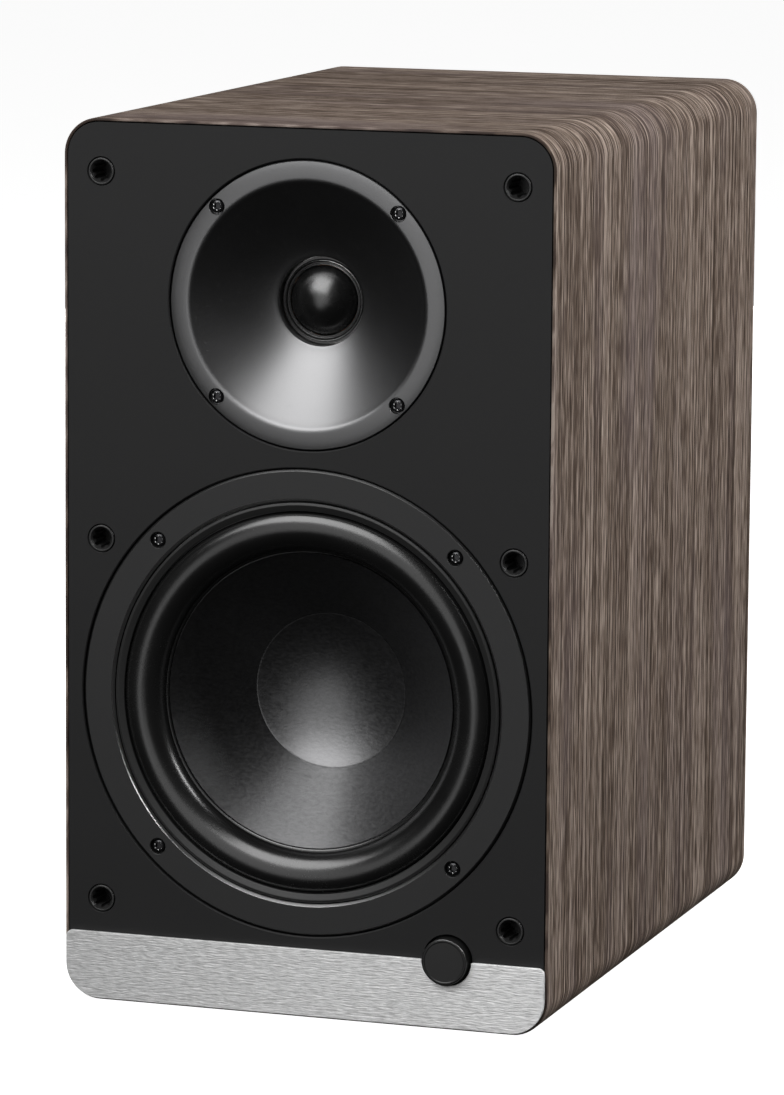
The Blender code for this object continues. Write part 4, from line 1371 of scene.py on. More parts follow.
@dataclass
class Tweeter:
    """Horn, dome and motor of the treble driver."""

    spot: Spot = field(default_factory=lambda: Spot.of("tweeter_waveguide"))
    throat: float = 0.0122
    mouth: float = 0.0327
    horn_depth: float = 0.0115
    dome_radius: float = 0.0095
    dome_height: float = 0.0050
    dome_base: float = 0.0146

    def build(self) -> None:
        """Builds every piece of the tweeter."""
        self.build_horn()
        self.build_dome()
        self.build_surround()
        self.build_motor()

    @property
    def z(self) -> float:
        """Height of the tweeter's axis."""
        return self.spot.middle.z

    def depth_at(self, radius: float) -> float:
        """Depth of the horn's surface at a radius."""
        share = (radius - self.throat) / (self.mouth - self.throat)
        return 0.0008 + (self.horn_depth - 0.0008) * (1 - share**1.22)

    def build_horn(self) -> None:
        """The horn in its round plate, rolled softly from the flat rim into the bowl."""
        radius, back = self.spot.size.x / 2, self.spot.back
        radii = [self.throat + (self.mouth - self.throat) * step / 22 for step in range(23)]
        bowl = [(r, self.depth_at(r)) for r in radii]
        roll = [(0.0331, 0.00050), (0.0335, 0.00027), (0.0339, 0.00012), (0.0343, 0.00003), (0.0347, 0)]
        roll += [(0.0356, 0.00002), (0.0365, 0.00006), (0.0374, 0.00012), (0.0382, 0.00020)]
        shell = [(r + 0.0010, self.depth_at(r) + 0.0022) for r in radii[3:16:4]]
        profile: list[tuple[float, ...]] = [(radius, 0.00055), (radius, 0.004), (0.0290, 0.004)]
        profile += reversed(shell)
        profile += [(0.0190, 0.0143), (0.0190, back), (self.throat, back), (self.throat, 0.0122, 0.0002)]
        profile += [(self.throat + 0.0001, self.horn_depth, 0.00008)] + bowl[1:] + roll
        profile.append((radius - 0.00022, 0.00032))
        piece = Piece.turned("tweeter_horn", profile, 0, self.z, FINE)
        screws = SocketScrews("tweeter")
        screws.clear_holes(piece)
        piece.paint(HORN_BLACK).fit("cabinet", "satin_plastic", "tweeter_waveguide")
        screws.build()

    def build_dome(self) -> None:
        """The coated silk dome on its coil former."""
        sphere = (self.dome_radius**2 + self.dome_height**2) / (2 * self.dome_height)
        skin = 0.0004
        radii = [self.dome_radius * step / 16 for step in range(17)]
        top = self.dome_base - self.dome_height + sphere
        front = [(r, top - math.sqrt(sphere**2 - r**2)) for r in radii]
        hem = self.dome_base + 0.0008
        rim = [(self.dome_radius, hem), (self.dome_radius - skin, hem)]
        back = [(r, d + skin) for r, d in reversed(front[:-1])]
        piece = Piece.turned("silk_dome", front + rim + back, 0, self.z, MEDIUM)
        piece.paint(SILK).fit("tweeter_diaphragm", "silk", "tweeter_dome", angle=60)

    def build_surround(self) -> None:
        """The dome's little half-roll between two raised beads."""
        outer, inner, skin = 0.0119, 0.0098, 0.0004
        front = [(outer, 0.0146), (0.01135, 0.0146), (0.01120, 0.0142), (0.01105, 0.0140)]
        front += [(0.01090, 0.01395), (0.01075, 0.0141), (0.01068, 0.01475)]
        for step in range(7):
            angle = math.pi * step / 6
            front.append((0.01035 + 0.00030 * math.cos(angle), 0.0148 - 0.0005 * math.sin(angle)))
        front += [(0.00998, 0.0147), (inner, 0.0146)]
        back = [(inner, 0.0154), (outer, 0.0154)]
        piece = Piece.turned("dome_surround", front + back, 0, self.z, MEDIUM)
        piece.paint(RUBBER)

        def on_bead(face: Any) -> bool:
            """Whether a face is on one of the two bright beads."""
            out = off_axis(face.center, 0, self.z)
            return face.normal.y < 0 and (0.01085 < out < 0.01115 or out < 0.01002)

        piece.paint_where(CUT_EDGE, on_bead)
        piece.activate()
        bpy.ops.object.shade_smooth_by_angle(angle=math.radians(60))
        blend_by_radius(piece.obj, (0, self.z))
        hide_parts("tweeter_surround")

    def build_motor(self) -> None:
        """Coil, washer, magnet ring and yoke."""
        coil = [(0.0095, 0.0157), (0.0095, 0.0205), (0.0091, 0.0205), (0.0091, 0.0157)]
        washer = [(0.0200, 0.0172, 0.0003), (0.0200, 0.0202, 0.0003)]
        washer += [(0.0101, 0.0202), (0.0101, 0.0172, 0.0002)]
        magnet = [(0.0225, 0.0205, 0.0006), (0.0225, 0.0285, 0.0006), (0.0125, 0.0285), (0.0125, 0.0205)]
        yoke = [(0, 0.0165), (0.0086, 0.0165, 0.0003), (0.0086, 0.0288), (0.0200, 0.0288, 0.0003)]
        yoke += [(0.0200, 0.0320, 0.0004), (0, 0.0320)]
        for name, shape, finish, body, slot, node in (
            ("tweeter_winding", coil, COPPER, "tweeter_diaphragm", "copper", "tweeter_voice_coil"),
            ("tweeter_washer", washer, ZINC, "cabinet", "zinc_steel", "tweeter_top_plate"),
            ("tweeter_magnet_ring", magnet, FERRITE, "cabinet", "ferrite", "tweeter_magnet"),
            ("tweeter_pole_yoke", yoke, ZINC, "cabinet", "zinc_steel", "tweeter_yoke"),
        ):
            Piece.turned(name, shape, 0, self.z).paint(finish).fit(body, slot, node)


@dataclass
class Woofer:
    """Basket, cone, surround and motor of the bass driver."""

    spot: Spot = field(default_factory=lambda: Spot.of("woofer_basket"))
    flange_inner: float = 0.0557
    cone_radius: float = 0.0400
    cone_edge: float = 0.0054
    cap_radius: float = 0.0213
    cap_depth: float = 0.0212
    cap_dish: float = 0.0050
    neck_radius: float = 0.0134
    neck_depth: float = 0.0292

    def build(self) -> None:
        """Builds every piece of the woofer."""
        self.build_basket()
        self.build_ring()
        self.build_surround()
        self.build_cone()
        self.build_spider()
        self.build_motor()

    @property
    def z(self) -> float:
        """Height of the woofer's axis."""
        return self.spot.middle.z

    def build_basket(self) -> None:
        """The cast basket: a flat flange, a sloping wall with six windows and the magnet's seat."""
        radius, back = self.spot.size.x / 2, self.spot.back
        inner = self.flange_inner
        profile = [
            (radius, 0.0005, 0.0002),
            (radius, 0.0040, 0.0002),
            (0.0545, 0.0040),
            (0.0545, 0.0080, 0.0006),
            (0.0375, 0.0330, 0.0010),
            (0.0375, back, 0.0005),
            (0.0170, back, 0.0003),
            (0.0170, 0.0384, 0.0003),
            (0.0305, 0.0384, 0.0008),
            (0.0305, 0.0314, 0.0004),
            (0.0359, 0.0314, 0.0006),
            (0.0519, 0.0072, 0.0006),
            (0.0519, 0.0030, 0.0003),
            (inner, 0.0030, 0.0001),
            (inner, 0.0009, 0.0002),
            (inner + 0.0007, 0, 0.0002),
            (radius - 0.0005, 0, 0.0002),
        ]
        piece = Piece.turned("cast_basket", profile, 0, self.z, FINE)
        for number in range(6):
            window = Piece.board(
                "window", (0.030, 0.0115, self.z - 0.011), (0.062, 0.0270, self.z + 0.011), 0.0001
            )
            window.activate()
            turn = math.radians(60 * number)
            bpy.ops.transform.rotate(value=turn, orient_axis="Y", center_override=(0, FRONT, self.z))
            bpy.ops.object.transform_apply(location=True, rotation=True, scale=True)
            piece.cut(window)
        screws = SocketScrews("woofer")
        screws.clear_holes(piece)
        piece.paint(FLANGE_BLACK)

        def on_bevel(face: Any) -> bool:
            """Whether a face is on the narrow bevel inside the flange."""
            out = off_axis(face.center, 0, self.z)
            in_band = inner - 0.0001 < out < inner + 0.0009
            return in_band and face.normal.y < -0.1 and face.center.y > FRONT + 0.00003

        piece.paint_where(CUT_EDGE, on_bevel)

        def on_rim(face: Any) -> bool:
            """Whether a face is on the bevel outside the flange."""
            out = off_axis(face.center, 0, self.z)
            return out > radius - 0.0005 and -0.97 < face.normal.y < -0.1

        piece.paint_where(DULL_EDGE, on_rim)
        piece.fit("cabinet", "black_steel", "woofer_basket")
        screws.build()

    def build_ring(self) -> None:
        """The moulded ring that holds the surround's outer edge."""
        ring = [(0.0553, 0.0006, 0.0002), (0.0553, 0.0018), (0.0529, 0.0018), (0.0529, 0.0010, 0.0003)]
        ring.append((0.0546, 0.0004, 0.0003))
        piece = Piece.turned("surround_clamp_ring", ring, 0, self.z, FINE)
        piece.paint(MOULDED_BLACK).fit("cabinet", "satin_plastic", "woofer_gasket_ring", angle=60)

    def build_surround(self) -> None:
        """The rubber half-roll between basket and cone."""
        middle, half, skin = 0.0473, 0.0053, 0.0005
        outside, inside, rise = 0.0021, 0.0046, 0.0039
        steps = 20
        front, back = [], []
        for step in range(steps + 1):
            angle = math.pi * step / steps
            lean = outside + (inside - outside) * step / steps
            front.append((middle + half * math.cos(angle), lean - rise * math.sin(angle)))
            back.append((middle + (half - skin) * math.cos(angle), lean + skin - rise * math.sin(angle)))
        front = [(0.0553, outside), (0.0528, outside), *front[1:-1]]
        front += [(0.0419, inside), (0.0414, inside + 0.0001), (0.0412, inside + 0.0003)]
        back = [(0.0553, outside + skin), *back, (0.0412, inside + skin)]
        piece = Piece.turned("rubber_surround", front + list(reversed(back)), 0, self.z, FINE)
        piece.paint(RUBBER)
        piece.activate()
        bpy.ops.object.shade_smooth_by_angle(angle=math.radians(50))
        blend_by_radius(piece.obj, (0, self.z))
        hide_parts("woofer_surround")

    def build_cone(self) -> None:
        """Cone, dished cap and coil, which move together."""
        paper, edge = 0.0008, self.cone_edge
        outer = self.cone_radius + 0.0018
        span = self.cone_radius - self.neck_radius
        slope = [(self.cone_radius - span * step / 12) for step in range(13)]
        front = [(r, self.surface_at(r)) for r in slope]
        back = [(r + paper * 0.6, d + paper) for r, d in reversed(front)]
        rim = [(outer, edge - 0.0001), (0.0411, edge - 0.0001), (0.0409, self.surface_at(0.0409))]
        profile = [*rim, *front, *back[:-1], (outer, edge + paper)]
        piece = Piece.turned("bass_cone", profile, 0, self.z, FINE)
        piece.paint(CONE).fit("woofer_diaphragm", "cone", "woofer_cone", angle=50)

        rows = 14
        radii = [self.cap_radius * row / rows for row in range(rows + 1)]
        rim_depth = self.cap_depth + 0.0006
        dish = [(r, rim_depth + self.cap_dish * (1 - (r / self.cap_radius) ** 2)) for r in radii]
        lip = self.cap_radius + 0.0004
        rim = [(self.cap_radius + 0.0002, self.cap_depth + 0.00055), (lip, self.surface_at(lip) - 0.00008)]
        rim.append((lip, self.surface_at(lip) - 0.00002))
        under = [(r, d + 0.0005) for r, d in reversed(dish)]
        piece = Piece.turned("dished_dust_cap", dish + rim + under, 0, self.z, FINE)
        piece.paint(CONE).fit("woofer_diaphragm", "cone", "woofer_dust_cap", angle=50)

        coil = [(0.0130, 0.0293), (0.0130, 0.0400), (0.0136, 0.0400), (0.0136, 0.0490), (0.0125, 0.0490)]
        coil.append((0.0125, 0.0293))
        Piece.turned("bass_winding", coil, 0, self.z).paint(COPPER).fit(
            "woofer_diaphragm", "copper", "woofer_voice_coil"
        )

    def surface_at(self, radius: float) -> float:
        """Depth of the cone's straight face at a radius."""
        share = (self.cone_radius - radius) / (self.cone_radius - self.neck_radius)
        return self.cone_edge + (self.neck_depth - self.cone_edge) * share

    def build_spider(self) -> None:
        """The corrugated cloth disc between basket and coil."""
        inner, outer, front, cloth = 0.0134, 0.0353, 0.0302, 0.0004
        top = [(outer, front + 0.0004), (0.0318, front + 0.0004)]
        steps = 48
        for step in range(steps + 1):
            share = step / steps
            wave = 0.0007 * math.sin(share * 6 * 2 * math.pi)
            top.append((0.0312 - share * (0.0312 - 0.0150), front + wave))
        top.append((inner, front))
        bottom = [(r, d + cloth) for r, d in reversed(top)]
        piece = Piece.turned("spider_disc", top + bottom, 0, self.z, MEDIUM)
        piece.paint(SPIDER)
        piece.activate()
        bpy.ops.object.shade_smooth_by_angle(angle=math.radians(60))
        blend_by_radius(piece.obj, (0, self.z))
        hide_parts("woofer_spider")

    def build_motor(self) -> None:
        """Top plate, magnet ring and vented yoke."""
        plate = [(0.0340, 0.0413, 0.0005), (0.0340, 0.0463, 0.0005)]
        plate += [(0.0142, 0.0463), (0.0142, 0.0413, 0.0003)]
        magnet = [(0.0380, 0.0466, 0.0010), (0.0380, 0.0616, 0.0010), (0.0190, 0.0616), (0.0190, 0.0466)]
        yoke = [(0.0119, 0.0412, 0.0005), (0.0119, 0.0619), (0.0340, 0.0619, 0.0004)]
        yoke.append((0.0340, 0.0669, 0.0008))
        yoke += [(0.0040, 0.0669, 0.0004), (0.0040, 0.0412, 0.0004)]
        for name, shape, finish, slot, node in (
            ("bass_top_plate", plate, ZINC, "zinc_steel", "woofer_top_plate"),
            ("bass_magnet_ring", magnet, FERRITE, "ferrite", "woofer_magnet"),
            ("bass_yoke", yoke, ZINC, "zinc_steel", "woofer_yoke"),
        ):
            Piece.turned(name, shape, 0, self.z).paint(finish).fit("cabinet", slot, node)


# ---------------------------------------------------------------- volume control
@dataclass
class VolumeControl:
    """The knob and the rotary encoder behind it."""

    spot: Spot = field(default_factory=lambda: Spot.of("volume_knob"))

    def build(self) -> None:
        """Builds the knob, the shaft, the plunger and the encoder's case."""
        x, z, top = self.spot.middle.x, self.spot.middle.z, self.spot.front
        radius, back = self.spot.size.x / 2, self.spot.back
        face = Satin("knob_face", (0.009, 0.009, 0.009), 0.30, 0.45, grain=1400.0, relief=0.00001)
        profile = [
            (0, top + 0.00012),
            (radius - 0.0009, top + 0.00012, 0.0001),
            (radius - 0.0007, top, 0.0001),
            (radius, top, 0.00035),
            (radius, back, 0.0002),
            (0.0033, back),
            (0.0033, -0.0015),
            (0, -0.0015),
        ]
        knob = Piece.turned("knob_cap", profile, x, z).paint(face)
        knob.paint_where(
            DULL_EDGE,
            lambda side: off_axis(side.center, x, z) > radius - 0.0003
            and -0.96 < side.normal.y < -0.2,
        )
        knob.fit("volume_control", "gloss_plastic", "volume_knob")

        spot = Spot.of("encoder_shaft")
        shaft = Piece.turned(
            "splined_shaft",
            [(0, spot.front), (0.0030, spot.front, 0.0004), (0.0030, spot.back, 0.0003), (0, spot.back)],
            x,
            z,
            COARSE,
        )
        flat = (x - 0.004, spot.front - CLEAR, z + 0.0023), (x + 0.004, 0.0050, z + 0.004)
        shaft.cut(Piece.block("flat", *flat)).paint(ALUMINIUM)
        shaft.fit("volume_control", "brushed_aluminium", "encoder_shaft")

        spot = Spot.of("encoder_plunger")
        rod = [(0, spot.front), (0.0028, spot.front, 0.0002), (0.0028, spot.back, 0.0004), (0, spot.back)]
        Piece.turned("push_plunger", rod, x, z, COARSE).paint(MOULDED_BLACK).fit(
            "volume_plunger", "satin_plastic", "encoder_plunger"
        )
        self.build_case(x, z)

    def build_case(self, x: float, z: float) -> None:
        """The encoder's case, with its threaded bush and folded corners."""
        spot = Spot.of("encoder_body")
        half = spot.size.x / 2
        case = Piece.board(
            "encoder_case", (x - half, 0.0155, z - half), (x + half, spot.back, z + half), 0.0008, 4
        )
        bush = [(0.0037, spot.front, 0.0003)]
        for thread in range(11):
            depth = spot.front + 0.0008 + thread * 0.00075
            bush += [(0.0037, depth), (0.0035, depth + 0.00037)]
        bush += [(0.0037, 0.0158), (0.0033, 0.0158), (0.0033, spot.front)]
        hollow = Piece.rod("hollow", 0.0033, 0.0150, 0.0240, x, z, COARSE)
        case.cut(hollow).ease(0.0002).paint(ZINC)
        case.join(Piece.turned("bush", bush, x, z, COARSE).paint(ZINC))
        case.fit("cabinet", "zinc_steel", "encoder_body")


# ---------------------------------------------------------------- amplifier plate
@dataclass
class SignalSockets:
    """The phono jacks, the digital sockets and the channel switch's slider."""

    sleeve: float = 0.0042
    reach: float = 0.0085
    plate: Spot = field(default_factory=lambda: Spot.of("amp_plate"))

    def build(self) -> None:
        """Builds every signal connector."""
        self.build_jacks()
        self.build_hdmi()
        self.build_usb()
        self.build_optical()
        self.build_slider()

    def build_jacks(self) -> None:
        """Three gold sleeves with coloured cores on one moulded block."""
        spot, out = Spot.of("rca_sockets"), self.plate.back
        low, high = (spot.low.x, spot.front, spot.low.z), (spot.high.x, out - 0.0020, spot.high.z)
        piece = Piece.block("phono_sockets", low, high).ease(0.0005).paint(MOULDED_BLACK)
        mouth, root = out + self.reach, out - 0.0022
        sleeve = [(0.0033, out + 0.0008), (0.0033, mouth, 0.0002), (self.sleeve, mouth, 0.0003)]
        for ring in range(3):
            depth = mouth - 0.0016 - ring * 0.0011
            sleeve += [(self.sleeve, depth), (self.sleeve - 0.0002, depth - 0.0002)]
            sleeve.append((self.sleeve, depth - 0.0004))
        sleeve += [(self.sleeve, root), (0.0033, root)]
        core = [(0, out + 0.0020), (0.0017, out + 0.0020), (0.0017, mouth - 0.0010, 0.0002)]
        core += [(0.0026, mouth - 0.0010, 0.0002), (0.0033, mouth - 0.0016), (0.0033, root), (0, root)]
        collar = [(self.sleeve + 0.0001, out + 0.0003), (self.sleeve + 0.0001, out + 0.0011, 0.0002)]
        collar += [(0.0058, out + 0.0011, 0.0003), (0.0062, out + 0.0003)]
        z, middle = spot.middle.z, spot.middle.x
        cores = ((0.014, MOULDED_WHITE), (0.0, GLOSS_RED), (-0.014, GLOSS_BLACK))
        for x, finish in ((middle + shift, finish) for shift, finish in cores):
            piece.join(
                Piece.turned("sleeve", sleeve, x, z, COARSE).paint(GOLD),
                Piece.turned("core", core, x, z, COARSE).paint(finish),
                Piece.turned("collar", collar, x, z, COARSE).paint(finish),
            )
        piece.fit("cabinet", "gold_plate", "rca_sockets")

    def build_case(
        self, node: str, name: str, wall: float, cut_low: bool, cut: float, finish: Finish
    ) -> Piece:
        """A socket's pressed case with a hollow mouth that has two cut corners.

        Args:
            node: the frame's node.
            name: the piece's name.
            wall: the case's wall.
            cut_low: whether the cut corners are the lower ones.
            cut: size of the cut corners.
            finish: the case's finish.

        Returns:
            The case, painted.
        """
        spot = Spot.of(node)
        low, high = spot.corners
        case = Piece.board(name, low, high, 0.0006, 4)
        hollow = Piece.block(
            "hollow",
            (low[0] + wall, spot.back - 0.0090, low[2] + wall),
            (high[0] - wall, spot.back + CLEAR, high[2] - wall),
        )
        middle = spot.middle.z
        hollow.pick(Part.EDGES, lambda edge: along_depth(edge) and (edge.verts[0].co.z < middle) == cut_low)
        hollow.bevel(cut, 1)
        hollow.weld()
        return case.cut(hollow).ease(0.00012).paint(finish)

    def add_contacts(
        self, case: Piece, strips: Iterable[tuple[float, float]], front: float, back: float
    ) -> None:
        """Lays gold contact strips in a socket.

        Args:
            case: the socket.
            strips: x and z of each strip.
            front: depth of the strips' front end.
            back: depth of their back end.
        """
        for x, z in strips:
            strip = Piece.block(
                "contact", (x - 0.00022, front, z - 0.00008), (x + 0.00022, back, z + 0.00008)
            )
            case.join(strip.ease(0.00004, 1).paint(GOLD))

    def build_tongue(self, x: float, z: float, width: float, height: float, back: float) -> Piece:
        """A moulded contact tongue that ends at a depth.

        Args:
            x: place of its middle.
            z: place of its middle.
            width: its width.
            height: its height.
            back: depth of the socket's mouth.

        Returns:
            The tongue, painted.
        """
        low = (x - width / 2, back - 0.0090, z - height / 2)
        high = (x + width / 2, back - 0.0015, z + height / 2)
        return Piece.block("tongue", low, high).ease(0.0002).paint(MOULDED_BLACK)

    def build_hdmi(self) -> None:
        """The flat video socket, which carries sound back from a television."""
        spot = Spot.of("hdmi_socket")
        x, z, back = spot.middle.x, spot.middle.z, spot.back
        case = self.build_case("hdmi_socket", "flat_video_socket", 0.0006, True, 0.0011, ZINC)
        case.join(self.build_tongue(x, z + 0.0003, 0.0110, 0.0009, back))
        strips = [(x - 0.0045 + step * 0.0010, z - 0.00018) for step in range(10)]
        self.add_contacts(case, strips, back - 0.0080, back - 0.0018)
        case.fit("cabinet", "zinc_steel", "hdmi_socket")

    def build_usb(self) -> None:
        """The square data socket."""
        spot = Spot.of("usb_socket")
        x, z, back = spot.middle.x, spot.middle.z, spot.back
        case = self.build_case("usb_socket", "square_data_socket", 0.0016, False, 0.0020, ZINC)
        case.join(self.build_tongue(x, z, 0.0054, 0.0030, back))
        strips = [(x + side * 0.0013, z + face * 0.00155) for side in (-1, 1) for face in (-1, 1)]
        self.add_contacts(case, strips, back - 0.0080, back - 0.0020)
        case.fit("cabinet", "zinc_steel", "usb_socket")

    def build_optical(self) -> None:
        """The optical socket, with its lens ring."""
        spot = Spot.of("optical_socket")
        x, z, back = spot.middle.x, spot.middle.z, spot.back
        case = self.build_case(
            "optical_socket", "optical_light_socket", 0.0009, False, 0.0013, MOULDED_BLACK
        )
        ring = [(0, back - 0.0058), (0.0009, back - 0.0058), (0.0009, back - 0.0030, 0.0001)]
        ring += [(0.0016, back - 0.0030, 0.0002), (0.0018, back - 0.0092), (0, back - 0.0092)]
        lens = [(0, back - 0.0052), (0.0005, back - 0.0053), (0.0008, back - 0.0057)]
        lens += [(0.0008, back - 0.0062), (0, back - 0.0062)]
        case.join(
            Piece.turned("ring", ring, x, z, 32).paint(MOULDED_BLACK),
            Piece.turned("lens", lens, x, z, 32).paint(GLOSS_RED),
        )
        case.fit("cabinet", "satin_plastic", "optical_socket")

    def build_slider(self) -> None:
        """The channel switch's ribbed button."""
        spot = Spot.of("channel_switch_slider")
        low, high = spot.corners
        piece = Piece.block("ribbed_slider", low, high).ease(0.00025, 3)
        pitch = spot.size.x / 5
        for number in range(1, 5):
            x = spot.low.x + number * pitch
            low = (x - 0.00016, spot.back - 0.0004, spot.low.z - CLEAR)
            high = (x + 0.00016, spot.back + CLEAR, spot.high.z + CLEAR)
            piece.cut(Piece.block("groove", low, high))
        piece.paint(GLOSS_BLACK).fit("channel_slider", "satin_plastic", "channel_switch_slider")


@dataclass
class AmplifierPlate:
    """The steel plate with its openings and the screws that hold it."""

    plate: Spot = field(default_factory=lambda: Spot.of("amp_plate"))
    corner: float = 0.005
    margin: float = 0.0004

    def build(self) -> None:
        """Builds the plate."""
        spot, margin = self.plate, self.margin
        low, high = spot.corners
        piece = Piece.board("amplifier_plate", low, high, self.corner, 8)
        jacks = Spot.of("rca_sockets").middle
        rounds = [(jacks.x + shift, jacks.z, 0.0046) for shift in (-0.014, 0, 0.014)]
        for colour in ("red", "black"):
            post = Spot.of(f"speaker_post_{colour}").middle
            rounds.append((post.x, post.z, 0.0050))
        for x, z, radius in rounds:
            piece.cut(Piece.rod("opening", radius, spot.front - CLEAR, spot.back + CLEAR, x, z, COARSE))
        for node in ("hdmi_socket", "usb_socket", "optical_socket"):
            socket = Spot.of(node)
            self.open(
                piece,
                socket.low.x - margin,
                socket.high.x + margin,
                socket.low.z - margin,
                socket.high.z + margin,
            )
        slider = Spot.of("channel_switch_slider").middle
        middle = slider.x + 0.00225
        self.open(piece, middle - 0.0046, middle + 0.0046, slider.z - 0.0021, slider.z + 0.0021)
        inlet = Spot.of("mains_inlet").middle
        self.open(piece, -0.0253, 0.0253, inlet.z - 0.0123, inlet.z + 0.0123)
        piece.ease(0.00025).paint(COATED_STEEL)
        self.add_screws(piece)
        piece.fit("cabinet", "black_steel", "amp_plate")

    def open(self, piece: Piece, left: float, right: float, bottom: float, top: float) -> None:
        """Cuts one opening with four straight sides."""
        depths = self.plate.front - CLEAR, self.plate.back + CLEAR
        piece.cut(Piece.board("opening", (left, depths[0], bottom), (right, depths[1], top), 0.0003, 2))

    def add_screws(self, piece: Piece) -> None:
        """Sets six pan-head screws with cross recesses round the edge.

        Args:
            piece: the plate.
        """
        spot = self.plate
        x, z, face = spot.high.x - 0.0040, spot.high.z - 0.0040, spot.back + 0.00004
        head = [(0, face), (0.0026, face), (0.0027, face + 0.0006, 0.0002), (0.0020, face + 0.0012, 0.0004)]
        head.append((0, face + 0.0014))
        master = Piece.turned("screw_master", head, x, z, 32)
        for wide, tall in ((0.0013, 0.00028), (0.00028, 0.0013)):
            low, high = (x - wide, face + 0.0006, z - tall), (x + wide, face + 0.003, z + tall)
            master.cut(Piece.block("slot", low, high))
        master.ease(0.00006, 2, 50).paint(BLACK_OXIDE)
        left, low = 0.008 - spot.size.x, 0.008 - spot.size.z
        middle = 0.004 - spot.size.z / 2
        places = [(left, 0), (left, middle), (left, low), (0, middle), (0, low)]
        piece.join(*(master.copy("screw", (dx, 0, dz)) for dx, dz in places), master)


@dataclass
class SpeakerPosts:
    """Two binding posts, each with a captive washer and a fluted thumb nut."""

    flutes: int = 12
    plate: Spot = field(default_factory=lambda: Spot.of("amp_plate"))

    def build(self) -> None:
        """Models the red post and copies it to the black one's place."""
        shift = Spot.of("speaker_post_black").middle - Spot.of("speaker_post_red").middle
        for part, kind, finish in (
            (self.build_base(), "speaker_post", None),
            (self.build_washer(), "post_washer", None),
            (self.build_nut(), "post_nut", GLOSS_BLACK),
        ):
            twin = part.copy(f"black_{kind}_piece", shift)
            if finish:
                twin.paint_over(finish)
            for colour, piece in (("red", part), ("black", twin)):
                body = "cabinet" if kind == "speaker_post" else f"{colour}_{kind.removeprefix('post_')}"
                slot = "gold_plate"
                if kind == "post_nut":
                    slot = "red_plastic" if colour == "red" else "gloss_plastic"
                piece.fit(body, slot, f"{kind}_{colour}")

    def build_base(self) -> Piece:
        """The gold stud with its collar on a plastic bush.

        Returns:
            The red post, with its bush.
        """
        spot, out = Spot.of("speaker_post_red"), self.plate.back
        x, z, tip = spot.middle.x, spot.middle.z, spot.back
        base = [(0, spot.front), (0.0022, spot.front, 0.0004), (0.0022, out - 0.0060)]
        base += [(0.0045, out - 0.0060), (0.0045, out + 0.0012), (0.0068, out + 0.0012, 0.0002)]
        base += [(0.0070, out + 0.0040, 0.0004), (0.0030, out + 0.0040)]
        depth = out + 0.0048
        while depth < tip - 0.0012:
            base += [(0.0030, depth), (0.00278, depth + 0.0004)]
            depth += 0.0008
        base += [(0.0030, depth), (0.0029, tip, 0.0002), (0.0021, tip, 0.0002), (0.0021, out + 0.0060)]
        base.append((0, out + 0.0060))
        stud = Piece.turned("red_speaker_post_piece", base, x, z, COARSE).paint(GOLD)
        bush = [(0.0047, out + 0.0003), (0.0047, out + 0.0011), (0.0074, out + 0.0011, 0.0003)]
        bush.append((0.0077, out + 0.0003, 0.0002))
        return stud.join(Piece.turned("bush", bush, x, z, COARSE).paint(MOULDED_BLACK))

    def build_washer(self) -> Piece:
        """The washer that the nut pushes along the stud.

        Returns:
            The red washer.
        """
        spot = Spot.of("post_washer_red")
        x, z, front, back = spot.middle.x, spot.middle.z, spot.front, spot.back
        ring = [
            (0.0034, front),
            (0.0034, back),
            (0.0054, back),
            (0.0058, back - 0.0003),
            (0.0058, front, 0.0002),
        ]
        return Piece.turned("red_post_washer_piece", ring, x, z, 64).paint(GOLD)

    def build_nut(self) -> Piece:
        """The thumb nut, with flutes for the fingers and a gold ring in its end.

        Returns:
            The red nut.
        """
        spot = Spot.of("post_nut_red")
        x, z, front, back, radius = spot.middle.x, spot.middle.z, spot.front, spot.back, spot.size.x / 2
        shell = [(0.0034, front), (0.0056, front, 0.0003), (radius, front + 0.0006, 0.0003)]
        shell += [(radius, back - 0.0012, 0.0008), (0.0050, back, 0.0004), (0.0042, back)]
        shell += [(0.0042, back - 0.0006), (0.0034, back - 0.0006)]
        nut = Piece.turned("red_post_nut_piece", shell, x, z, 72)
        for number in range(self.flutes):
            angle = 2 * math.pi * number / self.flutes
            place = x + (radius + 0.0003) * math.cos(angle), z + (radius + 0.0003) * math.sin(angle)
            nut.cut(Piece.rod("flute", 0.0009, front + 0.0014, back + CLEAR, *place, 20))
        nut.ease(0.00012, 2, 40).paint(GLOSS_RED)
        ring = [
            (0.0034, back - 0.0005),
            (0.0034, back - 0.0001),
            (0.0040, back - 0.0001),
            (0.0041, back - 0.0005),
        ]
        return nut.join(Piece.turned("insert", ring, x, z, 48).paint(GOLD))


